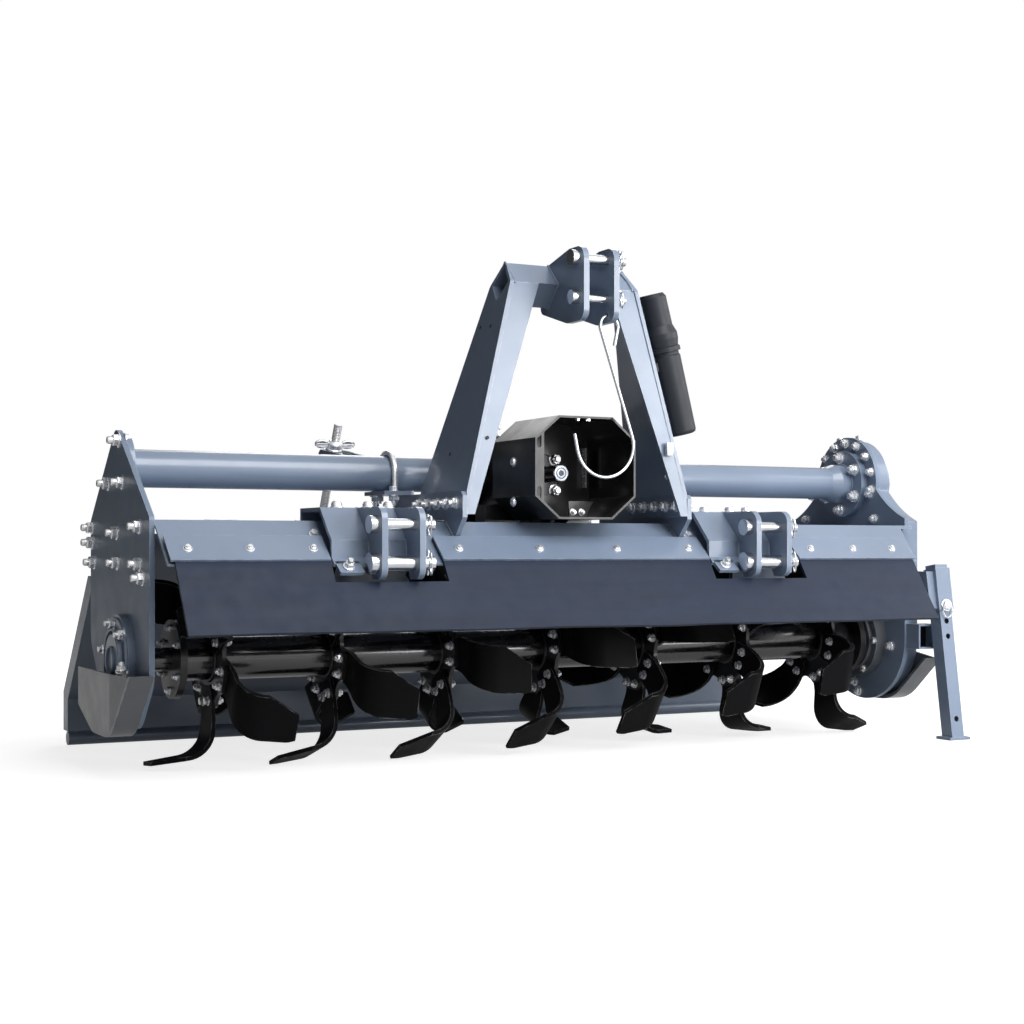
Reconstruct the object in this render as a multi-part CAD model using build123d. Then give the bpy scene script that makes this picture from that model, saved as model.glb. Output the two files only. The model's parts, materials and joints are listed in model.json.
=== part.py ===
"""Rotary tiller for a tractor's three-point hitch, driven by the tractor's power take-off.

X runs across the machine, -Y is the tractor's side, Z is up. The pieces are laid out about the
middle tine flange (X), the rotor's axis (Y) and the floor (Z). At the end everything moves by one
offset, so that the origin is the middle of the machine's footprint, on the floor it parks on.
"""
import os
from math import acos, atan2, cos, degrees, hypot, radians, sin, sqrt, tan

from build123d import *

os.makedirs("parts", exist_ok=True)

# ---------------------------------------------------------------- driving dimensions, mm
# Rotor
tip_radius = 215.0          # swing circle of the tine tips, which is also the axle's height
flange_count = 7
flange_pitch = 240.0
flange_radius = 98.0
flange_thick = 8.0
flange_scallop_r = 40.0     # hollow between two tines
flange_scallop_depth = 12.0
rotor_tube_r = 42.5
rotor_end_disc_r = 76.0
rotor_end_disc_thick = 14.0
rotor_left_gap = 49.0       # from the left bearing's drum to the rotor's end disc
rotor_right_gap = 15.0
rotor_stub_r = 22.5
stub_end_gap = 2.0          # the stub axle stops inside its housing
weld_gap = 0.05             # play of a welded disc on its tube or stub, on the radius
helix_step_deg = -12.5      # turn from one flange's tines to the next one's
rotor_phase_deg = -95.0     # direction of the first flange's first tine, seen from +X

# Tines
tine_count = 6
tine_thick = 8.0
tine_width = 72.0
tine_root_width = 58.0
tine_root_r = 52.0          # inner end of the shank
tine_root_round = 8.0
tine_knee_r = 112.0         # where the blade starts to sweep back
tine_lead_round = 120.0
tine_trail_round = 60.0
tine_reach = 118.0          # sideways reach from the flange's middle
tine_tip_drop = 12.0        # the flat of the tip lies this far inside the swing circle
tine_bend_r = 46.0
tine_arm_rise = 14.0        # the arm leans outwards by this much over its length
tine_arm_start = 34.0       # where the arm begins to narrow
tine_tip_lead = 54.0        # how far the arm's two edges sweep back to its tip
tine_tip_trail = 38.0
tine_lead_sweep = 26.0      # how far the shank's two edges sweep back to the swing circle
tine_trail_sweep = 60.0

# Ends of the machine
left_run = 160.0            # first flange to the left end plate
right_run = 148.0           # last flange to the gear case
end_plate_thick = 10.0
case_plate_thick = 12.0
case_cover_thick = 32.0
case_cap_r = 75.0
case_cap_depth = 26.0
case_rim = 9.0              # the cover's outline lies this far inside the plate's
case_bottom_r = 146.0
case_foot_gap = 0.3         # between the cover's foot and the skid's runner
case_head_r = 111.0
case_shoulder_z = 497.0
case_rear_y = 274.0
case_front_y = -151.0
plate_front_y = -183.0
plate_rear_y = 269.0
plate_shoulder_z = 484.0
plate_apex_z = 664.0
plate_bottom_z = 92.0
plate_low_corner = 90.0     # slanted corner at the front of the foot
plate_heel_length = 130.0   # slanted corner at the rear of the foot
plate_heel_height = 150.0
plate_shoulder_round = 14.0
plate_foot_round = 60.0
hub_r = 88.0
hub_flange_thick = 14.0
hub_boss_r = 50.0
hub_boss_depth = 10.0
hub_cap_wall = 4.0          # closed end of the hub's bore
hub_drum_r = 62.0
hub_drum_length = 30.0
right_drum_r = 85.0
right_drum_length = 36.0
shaft_gap = 0.05            # running clearance, on the radius

# Hood
sheet = 5.0
deck_z = 480.0              # top of the deck
deck_front_y = -173.0
lip_y = -268.0
lip_z = 399.0
hood_rear_y = 269.0
hood_end_drop = 92.0
hood_end_thick = 8.0
hood_end_inset = 22.0       # from the deck's bends to the end's corners
hood_end_round = 20.0
hood_taper_top = 35.0       # the sloping front stops short of the gear case
hood_taper_bottom = 72.0

# Rubber flap and the strips that clamp it
flap_thick = 7.0
flap_bottom_y = -353.0
flap_bottom_z = 274.0
flap_left_gap = 12.0
flap_right_gap = 80.0
flap_notch_z = 362.0
flap_notch_side = 62.0
strip_thick = 4.0
strip_share = 0.55          # part of the sloping front that a strip covers

# Top tube
tube_y = 62.0
tube_z = 583.0
tube_r = 37.0
tube_wall = 6.0
tube_flange_r = 79.0
tube_flange_thick = 17.0
tube_collar_r = 45.0
tube_collar_length = 34.0
tube_left_flange_r = 66.0
tube_left_flange_thick = 12.0

# Gearbox and power take-off
hitch_x = -37.0             # middle of the hitch
gearbox_half_x = 82.0
gearbox_front_y = -60.0
gearbox_rear_y = 178.0
gearbox_bottom_z = 500.0
gearbox_top_z = 662.0
gearbox_neck_r = 58.0
gearbox_neck_length = 30.0
gearbox_nose_r = 56.0
gearbox_nose_length = 25.0
gearbox_foot = 46.0
gearbox_foot_thick = 18.0
gearbox_ledge = 34.0        # the cradle under the gearbox stands out this far to each side
gearbox_rib = 9.0
gearbox_cap_r = 50.0        # cap over the rear bearing
gearbox_cap_depth = 14.0
gearbox_lid = 5.0
gearbox_lid_inset = 20.0
pto_z = 581.0
pto_r = 17.45               # over the splines, 1 3/8 inch
pto_root_r = 14.9           # between the splines
spline_count = 6
spline_width = 8.6
pto_length = 88.0
pto_depth = 60.0            # how deep the shaft sits in the gearbox
pto_journal_r = 20.0
pto_journal_out = 8.0       # smooth part outside the gearbox's nose
pto_groove_place = 38.0     # locking groove, from the tip
pto_groove_width = 7.0
pto_end_gap = 1.0

# Shield round the power take-off
shield_half_x = 114.0
shield_bottom_z = 486.0
shield_top_z = 690.0
shield_chamfer_x = 53.0
shield_chamfer_z = 45.0
shield_front_y = -272.0
shield_rear_y = -85.0
shield_sheet = 4.0
shield_lip = 26.0           # lip turned in at the left front, slotted for its fixings
shield_lip_back = 12.0
shield_slot = (36.0, 10.0)
shield_slot_step = 112.0
shield_hole_r = 44.0        # hole in the back plate, round the gearbox's nose

# Mast
leg_bottom_half = 251.0
leg_top_half = 146.0
leg_bottom_z = 494.0
leg_bend_z = 540.0
leg_top_z = 955.0
leg_plate = 8.0
leg_crown = 4.0             # web left above the cross tube
leg_front_bottom_y = -252.0
leg_front_top_y = -225.0
leg_rear_bottom_y = -29.0
leg_rear_top_y = -137.0
leg_flange_bottom = 16.0
leg_flange_top = 65.0
cross_side = 60.0
cross_wall = 5.0
cross_y = -183.0
gusset_thick = 10.0
gusset_rear_y = 112.0
gusset_toe_gap = 3.0        # from the gusset's toe to the strip below it
saddle_thick = 8.0
saddle_width = 66.0
saddle_front = 22.0         # saddle in front of the tube, and behind it
saddle_rear = 13.0
saddle_bolt_share = 0.55    # place of the U-bolt across the saddle

# Hitch clevises
lower_spread = 830.0        # left clevis to right clevis
lower_shift = -2.0          # middle of the two, from the hitch's middle
clevis_gap = 64.0           # between the two plates
clevis_plate = 12.0
clevis_front_y = -330.0
clevis_top_z = 505.0
clevis_bottom_z = 370.0
clevis_round = 26.0
lower_pin_y = -304.0
upper_pin_z = 472.0
upper_pin_r = 11.0
heavy_pin_z = 400.0
heavy_pin_r = 14.0
bracket_plate = 8.0
bracket_left = 118.0
bracket_rear_y = -105.0
bracket_knee_y = -258.0
bracket_knee_z = 440.0
bracket_tab = 8.0           # the bracket's foot reaches this far past the hood's lip
bracket_height = 17.0       # from the deck to the underside of the bracket's top
bracket_lean = 57.0         # how far the slanted face runs back from the knee
clevis_undercut = 16.0      # the plates' lower rear corner stands this far ahead of the lip
top_clevis_gap = 56.0
top_clevis_shift = 2.5
top_clevis_above = 64.0     # from the cross tube's middle to the plates' top edge
top_clevis_rear_y = -150.0
top_pin_y = -304.0
top_pin_edge = 23.0         # from the plates' top edge to the upper pin
top_pin_step = 77.0         # from the upper pin down to the lower one
low_pin_edge = 46.0         # from the lower pin to the plates' bottom edge
top_pin_r = 9.5
low_top_pin_r = 8.0
pin_gap = 0.2               # loose fit of the hitch pins, on the radius
pin_head = 16.0
pin_tail = 26.0

# Skids
skid_width = 46.0
skid_sheet = 8.0
guard_sheet = 6.0
guard_turn = 14.0           # the guard's front facet turns inward by this much
skid_rear_round = 100.0
skid_front_round = 110.0
skid_front_y = -222.0
skid_front_z = 200.0
skid_bottom_z = 76.0
skid_flat_front_y = -80.0
skid_flat_rear_y = 60.0
skid_rear_y = 178.0
skid_rear_z = 121.0
guard_top_z = 195.0
guard_front_y = -75.0
skid_outer_x = 936.0
skid_right_trim = 24.0      # the right runner stops short of the stand
skid_bolts = ((-55.0, 118.0), (100.0, 150.0))   # (y, z) of the spacers
spacer_r = 10.0

# Tailgate
hinge_y = 290.0
hinge_rod_r = 6.0
hinge_knuckle_r = 12.0
hinge_gap = 0.3
knuckle_length = 70.0
gate_knee_y = 306.0
gate_knee_z = 343.0
gate_foot_y = 527.0
gate_foot_z = 99.0
gate_rib_depth = 42.0
gate_rib_thick = 8.0
tail_bar_r = 15.0
gate_top_gap = 19.0         # below the hinge's axis
lug_along = 0.40            # place of the rod's lug along the sloping part of the gate
lug_height = 42.0
lug_thick = 10.0
lug_round = 20.0

# Depth rods that hold the tailgate
rod_saddle_gap = 19.0       # from the saddle's edge to the rod's middle
rod_r = 9.0
rod_guide_y = 250.0
rod_guide_z = 622.0
rod_above = 82.0            # rod above its guide
guide_size = 34.0
guide_pin_r = 8.0
guide_gap = 0.3
nut_r = 16.0
nut_length = 22.0
wing_span = 88.0
wing_thick = 6.0
wing_height = 10.0
fork_bridge = 8.0
fork_root = 13.0            # from the lug's round to the fork's bridge
arm_thick = 8.0
arm_side_gap = 1.0
arm_round = 20.0
fork_gap = 22.0
fork_cheek = 6.0
fork_round = 13.0
fork_pin_r = 6.0
fork_float = 6.5            # slot either side of the pin's place
fork_side_float = 2.8       # the slot is wider than the pin by this much each side

# Parking stand
stand_out = 40.0            # from the gear case's plate to the stand's middle
stand_bite = 1.0            # the plate laps the sleeve by this much, as a weld
stand_lean_deg = 8.4
stand_top_y = -198.0
stand_top_z = 382.0
sleeve_wall = 3.0
sleeve_bottom_z = 287.0
leg_side = 34.0
leg_wall = 3.0
leg_gap = 0.5
leg_above = 8.0             # the leg's top, above its sleeve
leg_hole_r = 6.5
leg_hole_heights = (44.0, 228.0, 262.0)
foot_plate = 6.0
foot_side = 58.0
receiver_side = 56.0
receiver_wall = 4.0
receiver_bottom_z = 200.0
receiver_length = 44.0

# Driveline hook
hook_r = 3.5
hook_plane_y = -299.0
hook_below_pin = 32.0       # top of the hook, below the lower pin
hook_top_r = 20.0
hook_loop_r = 64.0
hook_drop = 254.5           # from the top of the hook to the loop's middle
hook_hole_r = 6.5
hook_loop_shift = 8.5       # the loop hangs this far left of its hole
hook_end = 34.0             # straight ends of the wire
hook_curl_deg = 12.0        # how far each bend turns past upright

# Manual canister
canister_r = 33.0
canister_length = 296.0
canister_low_z = 655.0
canister_y = -212.0
canister_clip = 7.0
canister_seam = 178.0       # where the screw cap meets the body
canister_collar = 3.0

# Small pieces
u_bolt_r = 6.0
plug_r = 13.0
plug_seat = 5.0             # height of the plug's boss

# ---------------------------------------------------------------- places that follow
rotor_z = tip_radius
half_span = (flange_count - 1) * flange_pitch / 2
left_x = -half_span - left_run
right_x = half_span + right_run
cover_x = right_x + case_plate_thick
case_bottom_z = skid_bottom_z + skid_sheet + case_foot_gap - case_rim
stand_x = cover_x + stand_out
hub_face_x = left_x - end_plate_thick
hub_cap_x = hub_face_x - hub_flange_thick - hub_boss_depth + hub_cap_wall
rotor_left_x = left_x + hub_drum_length + rotor_left_gap
rotor_right_x = right_x - right_drum_length - rotor_right_gap
bore_r = rotor_stub_r + shaft_gap
gearbox_x = hitch_x - 3.0
neck_left_x = gearbox_x - gearbox_half_x - gearbox_neck_length
neck_right_x = gearbox_x + gearbox_half_x + gearbox_neck_length
nose_y = gearbox_front_y - gearbox_nose_length
clevis_half = clevis_gap / 2 + clevis_plate
sleeve_side = leg_side + 2 * leg_gap + 2 * sleeve_wall
left_clevis_x = hitch_x + lower_shift - lower_spread / 2
right_clevis_x = hitch_x + lower_shift + lower_spread / 2
top_clevis_x = hitch_x + top_clevis_shift
top_clevis_top_z = leg_top_z + top_clevis_above
top_pin_z = top_clevis_top_z - top_pin_edge
low_top_pin_z = top_pin_z - top_pin_step
top_clevis_bottom_z = low_top_pin_z - low_pin_edge
hook_top_z = low_top_pin_z - hook_below_pin
saddle_z = tube_z - tube_r
slope = atan2(deck_z - lip_z, deck_front_y - lip_y)
slope_dir = Vector(-cos(slope), -sin(slope))
slope_out = Vector(-sin(slope), cos(slope))
slope_length = hypot(deck_z - lip_z, deck_front_y - lip_y)
strip_start = slope_length * (1 - strip_share)
far = 2000.0                # longer than the machine, for cuts that go right through


# ---------------------------------------------------------------- helpers
def slab_x(sketch, x0, x1):
    """A plate that stands across X: a sketch in (y, z), from x0 to x1."""
    return extrude(Plane.YZ.offset(min(x0, x1)) * sketch, amount=abs(x1 - x0), dir=(1, 0, 0))


def slab_y(sketch, y0, y1):
    """A plate that stands across Y: a sketch in (x, z), from y0 to y1."""
    return extrude(Plane.XZ.offset(-max(y0, y1)) * sketch, amount=abs(y1 - y0), dir=(0, -1, 0))


def slab_z(sketch, z0, z1):
    """A flat plate: a sketch in (x, y), from z0 to z1."""
    return extrude(Plane.XY.offset(min(z0, z1)) * sketch, amount=abs(z1 - z0), dir=(0, 0, 1))


def rod(start, end, radius):
    """A round bar between two points."""
    axis = Vector(*end) - Vector(*start)
    return Solid.make_cylinder(radius, axis.length, Plane(origin=start, z_dir=axis))


def polygon(points):
    return Polygon(*points, align=None)


def disc(y, z, radius):
    return Pos(y, z) * Circle(radius)


def rounded(corners):
    """A closed outline through (u, v, radius) corners, each rounded by its own radius."""
    edges = []
    ends = []
    count = len(corners)
    for i, (u, v, radius) in enumerate(corners):
        here = Vector(u, v)
        before = Vector(*corners[i - 1][:2]) - here
        after = Vector(*corners[(i + 1) % count][:2]) - here
        half = radians(before.get_angle(after)) / 2
        cut = min(radius / tan(half), 0.49 * before.length, 0.49 * after.length)
        start = here + before.normalized() * cut
        end = here + after.normalized() * cut
        ends.append((start, end))
        if cut > 0:
            to_middle = (before.normalized() + after.normalized()).normalized()
            true_radius = cut * tan(half)
            middle = here + to_middle * (true_radius / sin(half) - true_radius)
            edges.append(ThreePointArc(start, middle, end))
    for i in range(count):
        edges.append(Line(ends[i - 1][1], ends[i][0]))
    return make_face(Wire(edges))


def bent(points, thickness):
    """The section of a bent sheet: points run along one face, and the sheet lies to their left."""
    line = [Vector(*point) for point in points]
    other = []
    for i, here in enumerate(line):
        normals = []
        if i > 0:
            run = (here - line[i - 1]).normalized()
            normals.append(Vector(-run.Y, run.X))
        if i < len(line) - 1:
            run = (line[i + 1] - here).normalized()
            normals.append(Vector(-run.Y, run.X))
        mean = sum(normals[1:], normals[0]).normalized()
        other.append(here + mean * (thickness / mean.dot(normals[0])))
    return polygon([(p.X, p.Y) for p in line + other[::-1]])


def tube_x(y, z, radius, wall, x0, x1):
    """A round tube along X."""
    return slab_x(disc(y, z, radius) - disc(y, z, radius - wall), x0, x1)


def on_slope(distance, height=0.0):
    """A point on the sloping front, measured down from the deck's corner and out from the sheet."""
    point = Vector(deck_front_y, deck_z) + slope_dir * distance + slope_out * height
    return point.X, point.Y


# ---------------------------------------------------------------- rotor
def tine(side):
    """One blade, pointing up from the rotor's axis. Its tip turns to the given side along X."""
    near = side * flange_thick / 2
    far_face = near + side * tine_thick
    reach = side * tine_reach
    outer = tip_radius - tine_tip_drop
    inner = outer - tine_thick
    strip = rounded([
        (near, tine_root_r, 0),
        (far_face, tine_root_r, 0),
        (far_face, inner - tine_arm_rise, tine_bend_r),
        (reach, inner, 0),
        (reach, outer, 0),
        (near, outer - tine_arm_rise, tine_bend_r + tine_thick),
    ])
    half = tine_width / 2
    beyond = tip_radius * 1.12
    shank = rounded([
        (-tine_root_width / 2, tine_root_r, tine_root_round),
        (tine_root_width / 2, tine_root_r, tine_root_round),
        (half, tine_knee_r, tine_lead_round),
        (half - tine_lead_sweep, beyond, 0),
        (-half - tine_trail_sweep, beyond, 0),
        (-half, tine_knee_r, tine_trail_round),
    ]) & Circle(tip_radius)
    wide = half + tine_trail_sweep
    start = side * tine_arm_start
    arm = polygon([
        (0, -wide),
        (start, -wide),
        (reach, -half - tine_tip_trail),
        (reach, half - tine_tip_lead),
        (start, half),
        (0, half),
    ])
    blade = slab_y(strip, -tip_radius, tip_radius) & slab_x(shank, min(0, reach), max(0, reach))
    return blade & slab_z(arm, 0, tip_radius)


def flange_x(index):
    """X of a flange's middle."""
    return (index - (flange_count - 1) / 2) * flange_pitch


def tine_angle(index, k):
    """Direction of a flange's tine, in degrees from +Y towards +Z."""
    return rotor_phase_deg + helix_step_deg * index + k * 360 / tine_count


def tines(index):
    """The blades of one flange: they turn left and right by turns."""
    left_blade = tine(-1)
    right_blade = tine(1)
    blades = []
    for k in range(tine_count):
        blade = left_blade if k % 2 == 0 else right_blade
        turned = Rot(tine_angle(index, k) - 90, 0, 0) * blade
        blades += (Pos(flange_x(index), 0, rotor_z) * turned).solids()
    return Compound(blades)


def rotor_shaft():
    """Tube with a stub axle at each end."""
    tube = slab_x(disc(0, rotor_z, rotor_tube_r), rotor_left_x + rotor_end_disc_thick,
                  rotor_right_x - rotor_end_disc_thick)
    return tube + slab_x(disc(0, rotor_z, rotor_stub_r), hub_cap_x + stub_end_gap, cover_x - stub_end_gap)


def rotor_flange(index):
    """Disc with a shallow hollow between each two tines."""
    outline = Circle(flange_radius)
    for k in range(tine_count):
        turn = tine_angle(index, k + 0.5)
        hollow = Pos(flange_radius + flange_scallop_r - flange_scallop_depth) * Circle(flange_scallop_r)
        outline -= Rot(0, 0, turn) * hollow
    ring = Pos(0, rotor_z) * (outline - Circle(rotor_tube_r + weld_gap))
    x = flange_x(index)
    return slab_x(ring, x - flange_thick / 2, x + flange_thick / 2)


def rotor_flanges():
    """The tines' flanges, and the plain disc that closes each end of the tube."""
    rings = [rotor_flange(index).solid() for index in range(flange_count)]
    end = disc(0, rotor_z, rotor_end_disc_r) - disc(0, rotor_z, rotor_stub_r + weld_gap)
    for x in (rotor_left_x, rotor_right_x - rotor_end_disc_thick):
        rings.append(slab_x(end, x, x + rotor_end_disc_thick).solid())
    return Compound(rings)


# ---------------------------------------------------------------- ends
def end_plate_left():
    """Five-cornered plate with a rounded apex over the tube's end."""
    outline = rounded([
        (tube_y, plate_apex_z, 2 * plate_shoulder_round),
        (plate_front_y, plate_shoulder_z, plate_shoulder_round),
        (plate_front_y, plate_bottom_z + plate_low_corner, plate_foot_round),
        (plate_front_y + plate_low_corner, plate_bottom_z, plate_foot_round),
        (plate_rear_y - plate_heel_length, plate_bottom_z, plate_foot_round),
        (plate_rear_y, plate_bottom_z + plate_heel_height, plate_foot_round),
        (plate_rear_y, plate_shoulder_z, plate_shoulder_round),
    ])
    return slab_x(outline - disc(0, rotor_z, hub_drum_r + pin_gap), hub_face_x, left_x)


def hub_left():
    """Bearing housing: its flange lies on the outside of the end plate, its drum passes through."""
    outer_x = hub_face_x - hub_flange_thick
    hub = slab_x(disc(0, rotor_z, hub_r), outer_x, hub_face_x)
    hub += slab_x(disc(0, rotor_z, hub_boss_r), outer_x - hub_boss_depth, outer_x)
    hub += slab_x(disc(0, rotor_z, hub_drum_r), hub_face_x, left_x + hub_drum_length)
    return hub - slab_x(disc(0, rotor_z, bore_r), hub_cap_x, left_x + far)


def hub_right():
    """Bearing drum on the gear case's plate."""
    drum = slab_x(disc(0, rotor_z, right_drum_r), right_x - right_drum_length + 8, right_x)
    drum += slab_x(disc(0, rotor_z, right_drum_r - 16), right_x - right_drum_length, right_x)
    return drum - slab_x(disc(0, rotor_z, bore_r), right_x - far, right_x)


def case_outline():
    """Bell shape: round head over the tube, flared shoulders, round foot about the rotor."""
    head_y = case_head_r * cos(radians(8))
    head_z = case_head_r * sin(radians(8))
    foot_y = case_front_y + case_bottom_r
    foot_z = case_bottom_z + case_bottom_r
    left = Vector(tube_y - head_y, tube_z - head_z)
    right = Vector(tube_y + head_y, tube_z - head_z)
    front_shoulder = Vector(case_front_y, case_shoulder_z)
    rear_shoulder = Vector(case_rear_y, case_shoulder_z)
    rear_drop = Vector(case_rear_y, case_shoulder_z - 30)
    turn = radians(20)
    rear_foot = Vector(foot_y + case_bottom_r * cos(turn), foot_z + case_bottom_r * sin(turn))
    flare = 10.0

    def hollow(start, end):
        """A slightly hollow flank between the head and a shoulder."""
        middle = (start + end) / 2
        inwards = (Vector(tube_y, case_shoulder_z) - middle).normalized()
        return ThreePointArc(start, middle + inwards * flare, end)

    edges = [
        ThreePointArc(left, Vector(tube_y, tube_z + case_head_r), right),
        hollow(right, rear_shoulder),
        Line(rear_shoulder, rear_drop),
        Line(rear_drop, rear_foot),
        ThreePointArc(rear_foot, Vector(foot_y, case_bottom_z), Vector(case_front_y, foot_z)),
        Line(Vector(case_front_y, foot_z), front_shoulder),
        hollow(front_shoulder, left),
    ]
    return make_face(Wire(edges))


def case_plate_right():
    outline = case_outline() - disc(0, rotor_z, bore_r)
    return slab_x(outline, right_x, cover_x)


def gear_case_cover():
    """Shallow casting with a round cap over the drive shaft and a lower one over the rotor."""
    face_x = cover_x + case_cover_thick
    cover = slab_x(offset(case_outline(), -case_rim), cover_x, face_x)
    cover += slab_x(disc(tube_y, tube_z, case_cap_r), face_x, face_x + case_cap_depth)
    cover += slab_x(disc(0, rotor_z, case_cap_r - 15), face_x, face_x + case_cap_depth / 3)
    return cover + rod(plug_axis(-12), plug_axis(plug_seat), plug_r + 1.5)


def plug_axis(height):
    """A point on the filler plug's axis, measured out from the gear case's head."""
    turn = radians(62)
    reach = case_head_r - case_rim + height
    return (cover_x + case_cover_thick / 2, tube_y + reach * cos(turn), tube_z + reach * sin(turn))


def filler_plug():
    """Plug with a washer, on the boss of the case's head."""
    washer = rod(plug_axis(plug_seat), plug_axis(plug_seat + 3), plug_r)
    return washer + rod(plug_axis(plug_seat + 3), plug_axis(plug_seat + 20), plug_r * 0.7)


# ---------------------------------------------------------------- hood
def hood_deck():
    """Bent sheet: sloping front, flat top, and knuckles along the rear edge."""
    section = bent([(hood_rear_y, deck_z), (deck_front_y, deck_z), (lip_y, lip_z)], sheet)
    hood = slab_x(section, left_x, right_x)
    taper = polygon([
        (right_x - hood_taper_top, deck_z),
        (right_x + 40, deck_z),
        (right_x + 40, lip_z - 20),
        (right_x - hood_taper_bottom, lip_z - 20),
    ])
    hood -= slab_y(taper, lip_y - 40, deck_front_y - 1)
    for x0, x1 in knuckles(0):
        hood += knuckle(x0, x1, hinge_rod_r)
        hood += slab_x(polygon([
            (hood_rear_y - 2, deck_z - sheet),
            (hinge_y - hinge_rod_r - 2, deck_z - sheet),
            (hinge_y - hinge_rod_r - 2, deck_z),
            (hood_rear_y - 2, deck_z),
        ]), x0, x1)
    return hood


def hood_end(x0):
    """Upright plate under one end of the hood, which the end plate is bolted to."""
    front = deck_front_y + hood_end_inset
    rear = hood_rear_y - hood_end_inset
    return slab_x(rounded([
        (front, deck_z - sheet, 0),
        (rear, deck_z - sheet, 0),
        (rear, deck_z - hood_end_drop, hood_end_round),
        (front, deck_z - hood_end_drop, hood_end_round),
    ]), x0, x0 + hood_end_thick)


def knuckles(first):
    """The stretches of the hinge that belong to the hood (first=0) or to the gate (first=1)."""
    stretches = []
    count = 9
    step = (right_x - left_x - 2 * knuckle_length) / (count - 1)
    for i in range(first, count, 2):
        middle = left_x + knuckle_length + i * step
        stretches.append((middle - knuckle_length / 2, middle + knuckle_length / 2))
    return stretches


def knuckle(x0, x1, bore):
    axis_z = deck_z - sheet / 2
    return slab_x(disc(hinge_y, axis_z, hinge_knuckle_r) - disc(hinge_y, axis_z, bore), x0, x1)


def hinge_rod():
    axis_z = deck_z - sheet / 2
    return slab_x(disc(hinge_y, axis_z, hinge_rod_r), left_x + knuckle_length / 2 - 6,
                  right_x - knuckle_length / 2 + 6)


def notches():
    """The stretches along X where the flap and the strips make room for the lower clevises."""
    cuts = []
    for x in (left_clevis_x, right_clevis_x):
        cuts.append((x - bracket_left - 4, x + clevis_half + flap_notch_side))
    return cuts


def flap_strips():
    """Three flat strips that clamp the flap to the sloping front."""
    ends = [left_x + 4]
    for cut_left, cut_right in notches():
        ends += [cut_left, cut_right]
    ends.append(right_x - hood_taper_bottom)
    section = polygon([
        on_slope(strip_start, flap_thick),
        on_slope(strip_start, flap_thick + strip_thick),
        on_slope(slope_length, flap_thick + strip_thick),
        on_slope(slope_length, flap_thick),
    ])
    strips = []
    for x0, x1 in zip(ends[::2], ends[1::2]):
        strips += slab_x(section, x0, x1).solids()
    return Compound(strips)


def rubber_flap():
    """Apron of rubber sheet, cut away round the lower clevises."""
    line = [(flap_bottom_y, flap_bottom_z), on_slope(slope_length), on_slope(strip_start)]
    flap = slab_x(bent(line, flap_thick), left_x + flap_left_gap, right_x - flap_right_gap)
    for x0, x1 in notches():
        window = polygon([(x0, flap_notch_z), (x1, flap_notch_z), (x1, deck_z), (x0, deck_z)])
        flap -= slab_y(window, flap_bottom_y - 20, deck_front_y)
    return flap


# ---------------------------------------------------------------- top tube and drive
def tube_left():
    tube = tube_x(tube_y, tube_z, tube_r, tube_wall, left_x, neck_left_x)
    flange_end = left_x + tube_left_flange_thick
    return tube + tube_x(tube_y, tube_z, tube_left_flange_r,
                         tube_left_flange_r - tube_r + tube_wall, left_x, flange_end)


def tube_right():
    """Its right end swells to a collar and ends in a bolted disc on the gear case."""
    disc_x = right_x - tube_flange_thick
    bore = tube_r - tube_wall
    profile = polygon([
        (neck_right_x, bore),
        (neck_right_x, tube_r),
        (disc_x - tube_collar_length - 14, tube_r),
        (disc_x - tube_collar_length, tube_collar_r - 3),
        (disc_x - tube_collar_length + 8, tube_collar_r),
        (disc_x, tube_collar_r),
        (disc_x, tube_flange_r),
        (right_x, tube_flange_r),
        (right_x, bore),
    ])
    turned = revolve(Plane.XY * profile, axis=Axis.X)
    return Pos(0, tube_y, tube_z) * turned


def gearbox():
    """Cast box with a nose round the input, ribbed necks to both tubes, and feet on the deck."""
    low_x = gearbox_x - gearbox_half_x
    high_x = gearbox_x + gearbox_half_x
    body = slab_y(rounded([
        (low_x, gearbox_bottom_z, 26),
        (high_x, gearbox_bottom_z, 26),
        (high_x, gearbox_top_z, 40),
        (low_x, gearbox_top_z, 40),
    ]), gearbox_front_y, gearbox_rear_y)
    body += slab_x(disc(tube_y, tube_z, gearbox_neck_r), neck_left_x, neck_right_x)
    body += pto_bar(0, gearbox_nose_length + weld_gap, gearbox_nose_r)
    rear = gearbox_rear_y - nose_y
    body += pto_bar(rear - weld_gap, rear + gearbox_cap_depth, gearbox_cap_r)
    lid = gearbox_lid_inset
    body += slab_z(rectangle(low_x + 2 * lid, gearbox_front_y + lid, high_x - 2 * lid, gearbox_rear_y - lid),
                   gearbox_top_z - weld_gap, gearbox_top_z + gearbox_lid)
    for side, x in ((-1, low_x), (1, high_x)):
        body += slab_y(polygon([
            (x - side * gearbox_ledge, deck_z),
            (x + side * gearbox_ledge, deck_z),
            (x + side * (gearbox_neck_length - gearbox_rib), tube_z),
            (x, gearbox_top_z - 2 * lid),
            (x - side * gearbox_ledge, tube_z),
        ]), tube_y - gearbox_rib / 2, tube_y + gearbox_rib / 2)
        ends = sorted((x - side * gearbox_foot, x + side * gearbox_ledge))
        for y in (gearbox_front_y, gearbox_rear_y - gearbox_foot):
            body += slab_z(rectangle(ends[0], y, ends[1], y + gearbox_foot),
                           deck_z, gearbox_bottom_z + gearbox_foot_thick)
    return body - pto_bar(-gearbox_nose_length, pto_depth, pto_journal_r + shaft_gap)


def pto_bar(start, end, radius):
    """A round bar on the input's axis, between two depths measured in from the gearbox's nose."""
    return rod((gearbox_x, nose_y + start, pto_z), (gearbox_x, nose_y + end, pto_z), radius)


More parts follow.
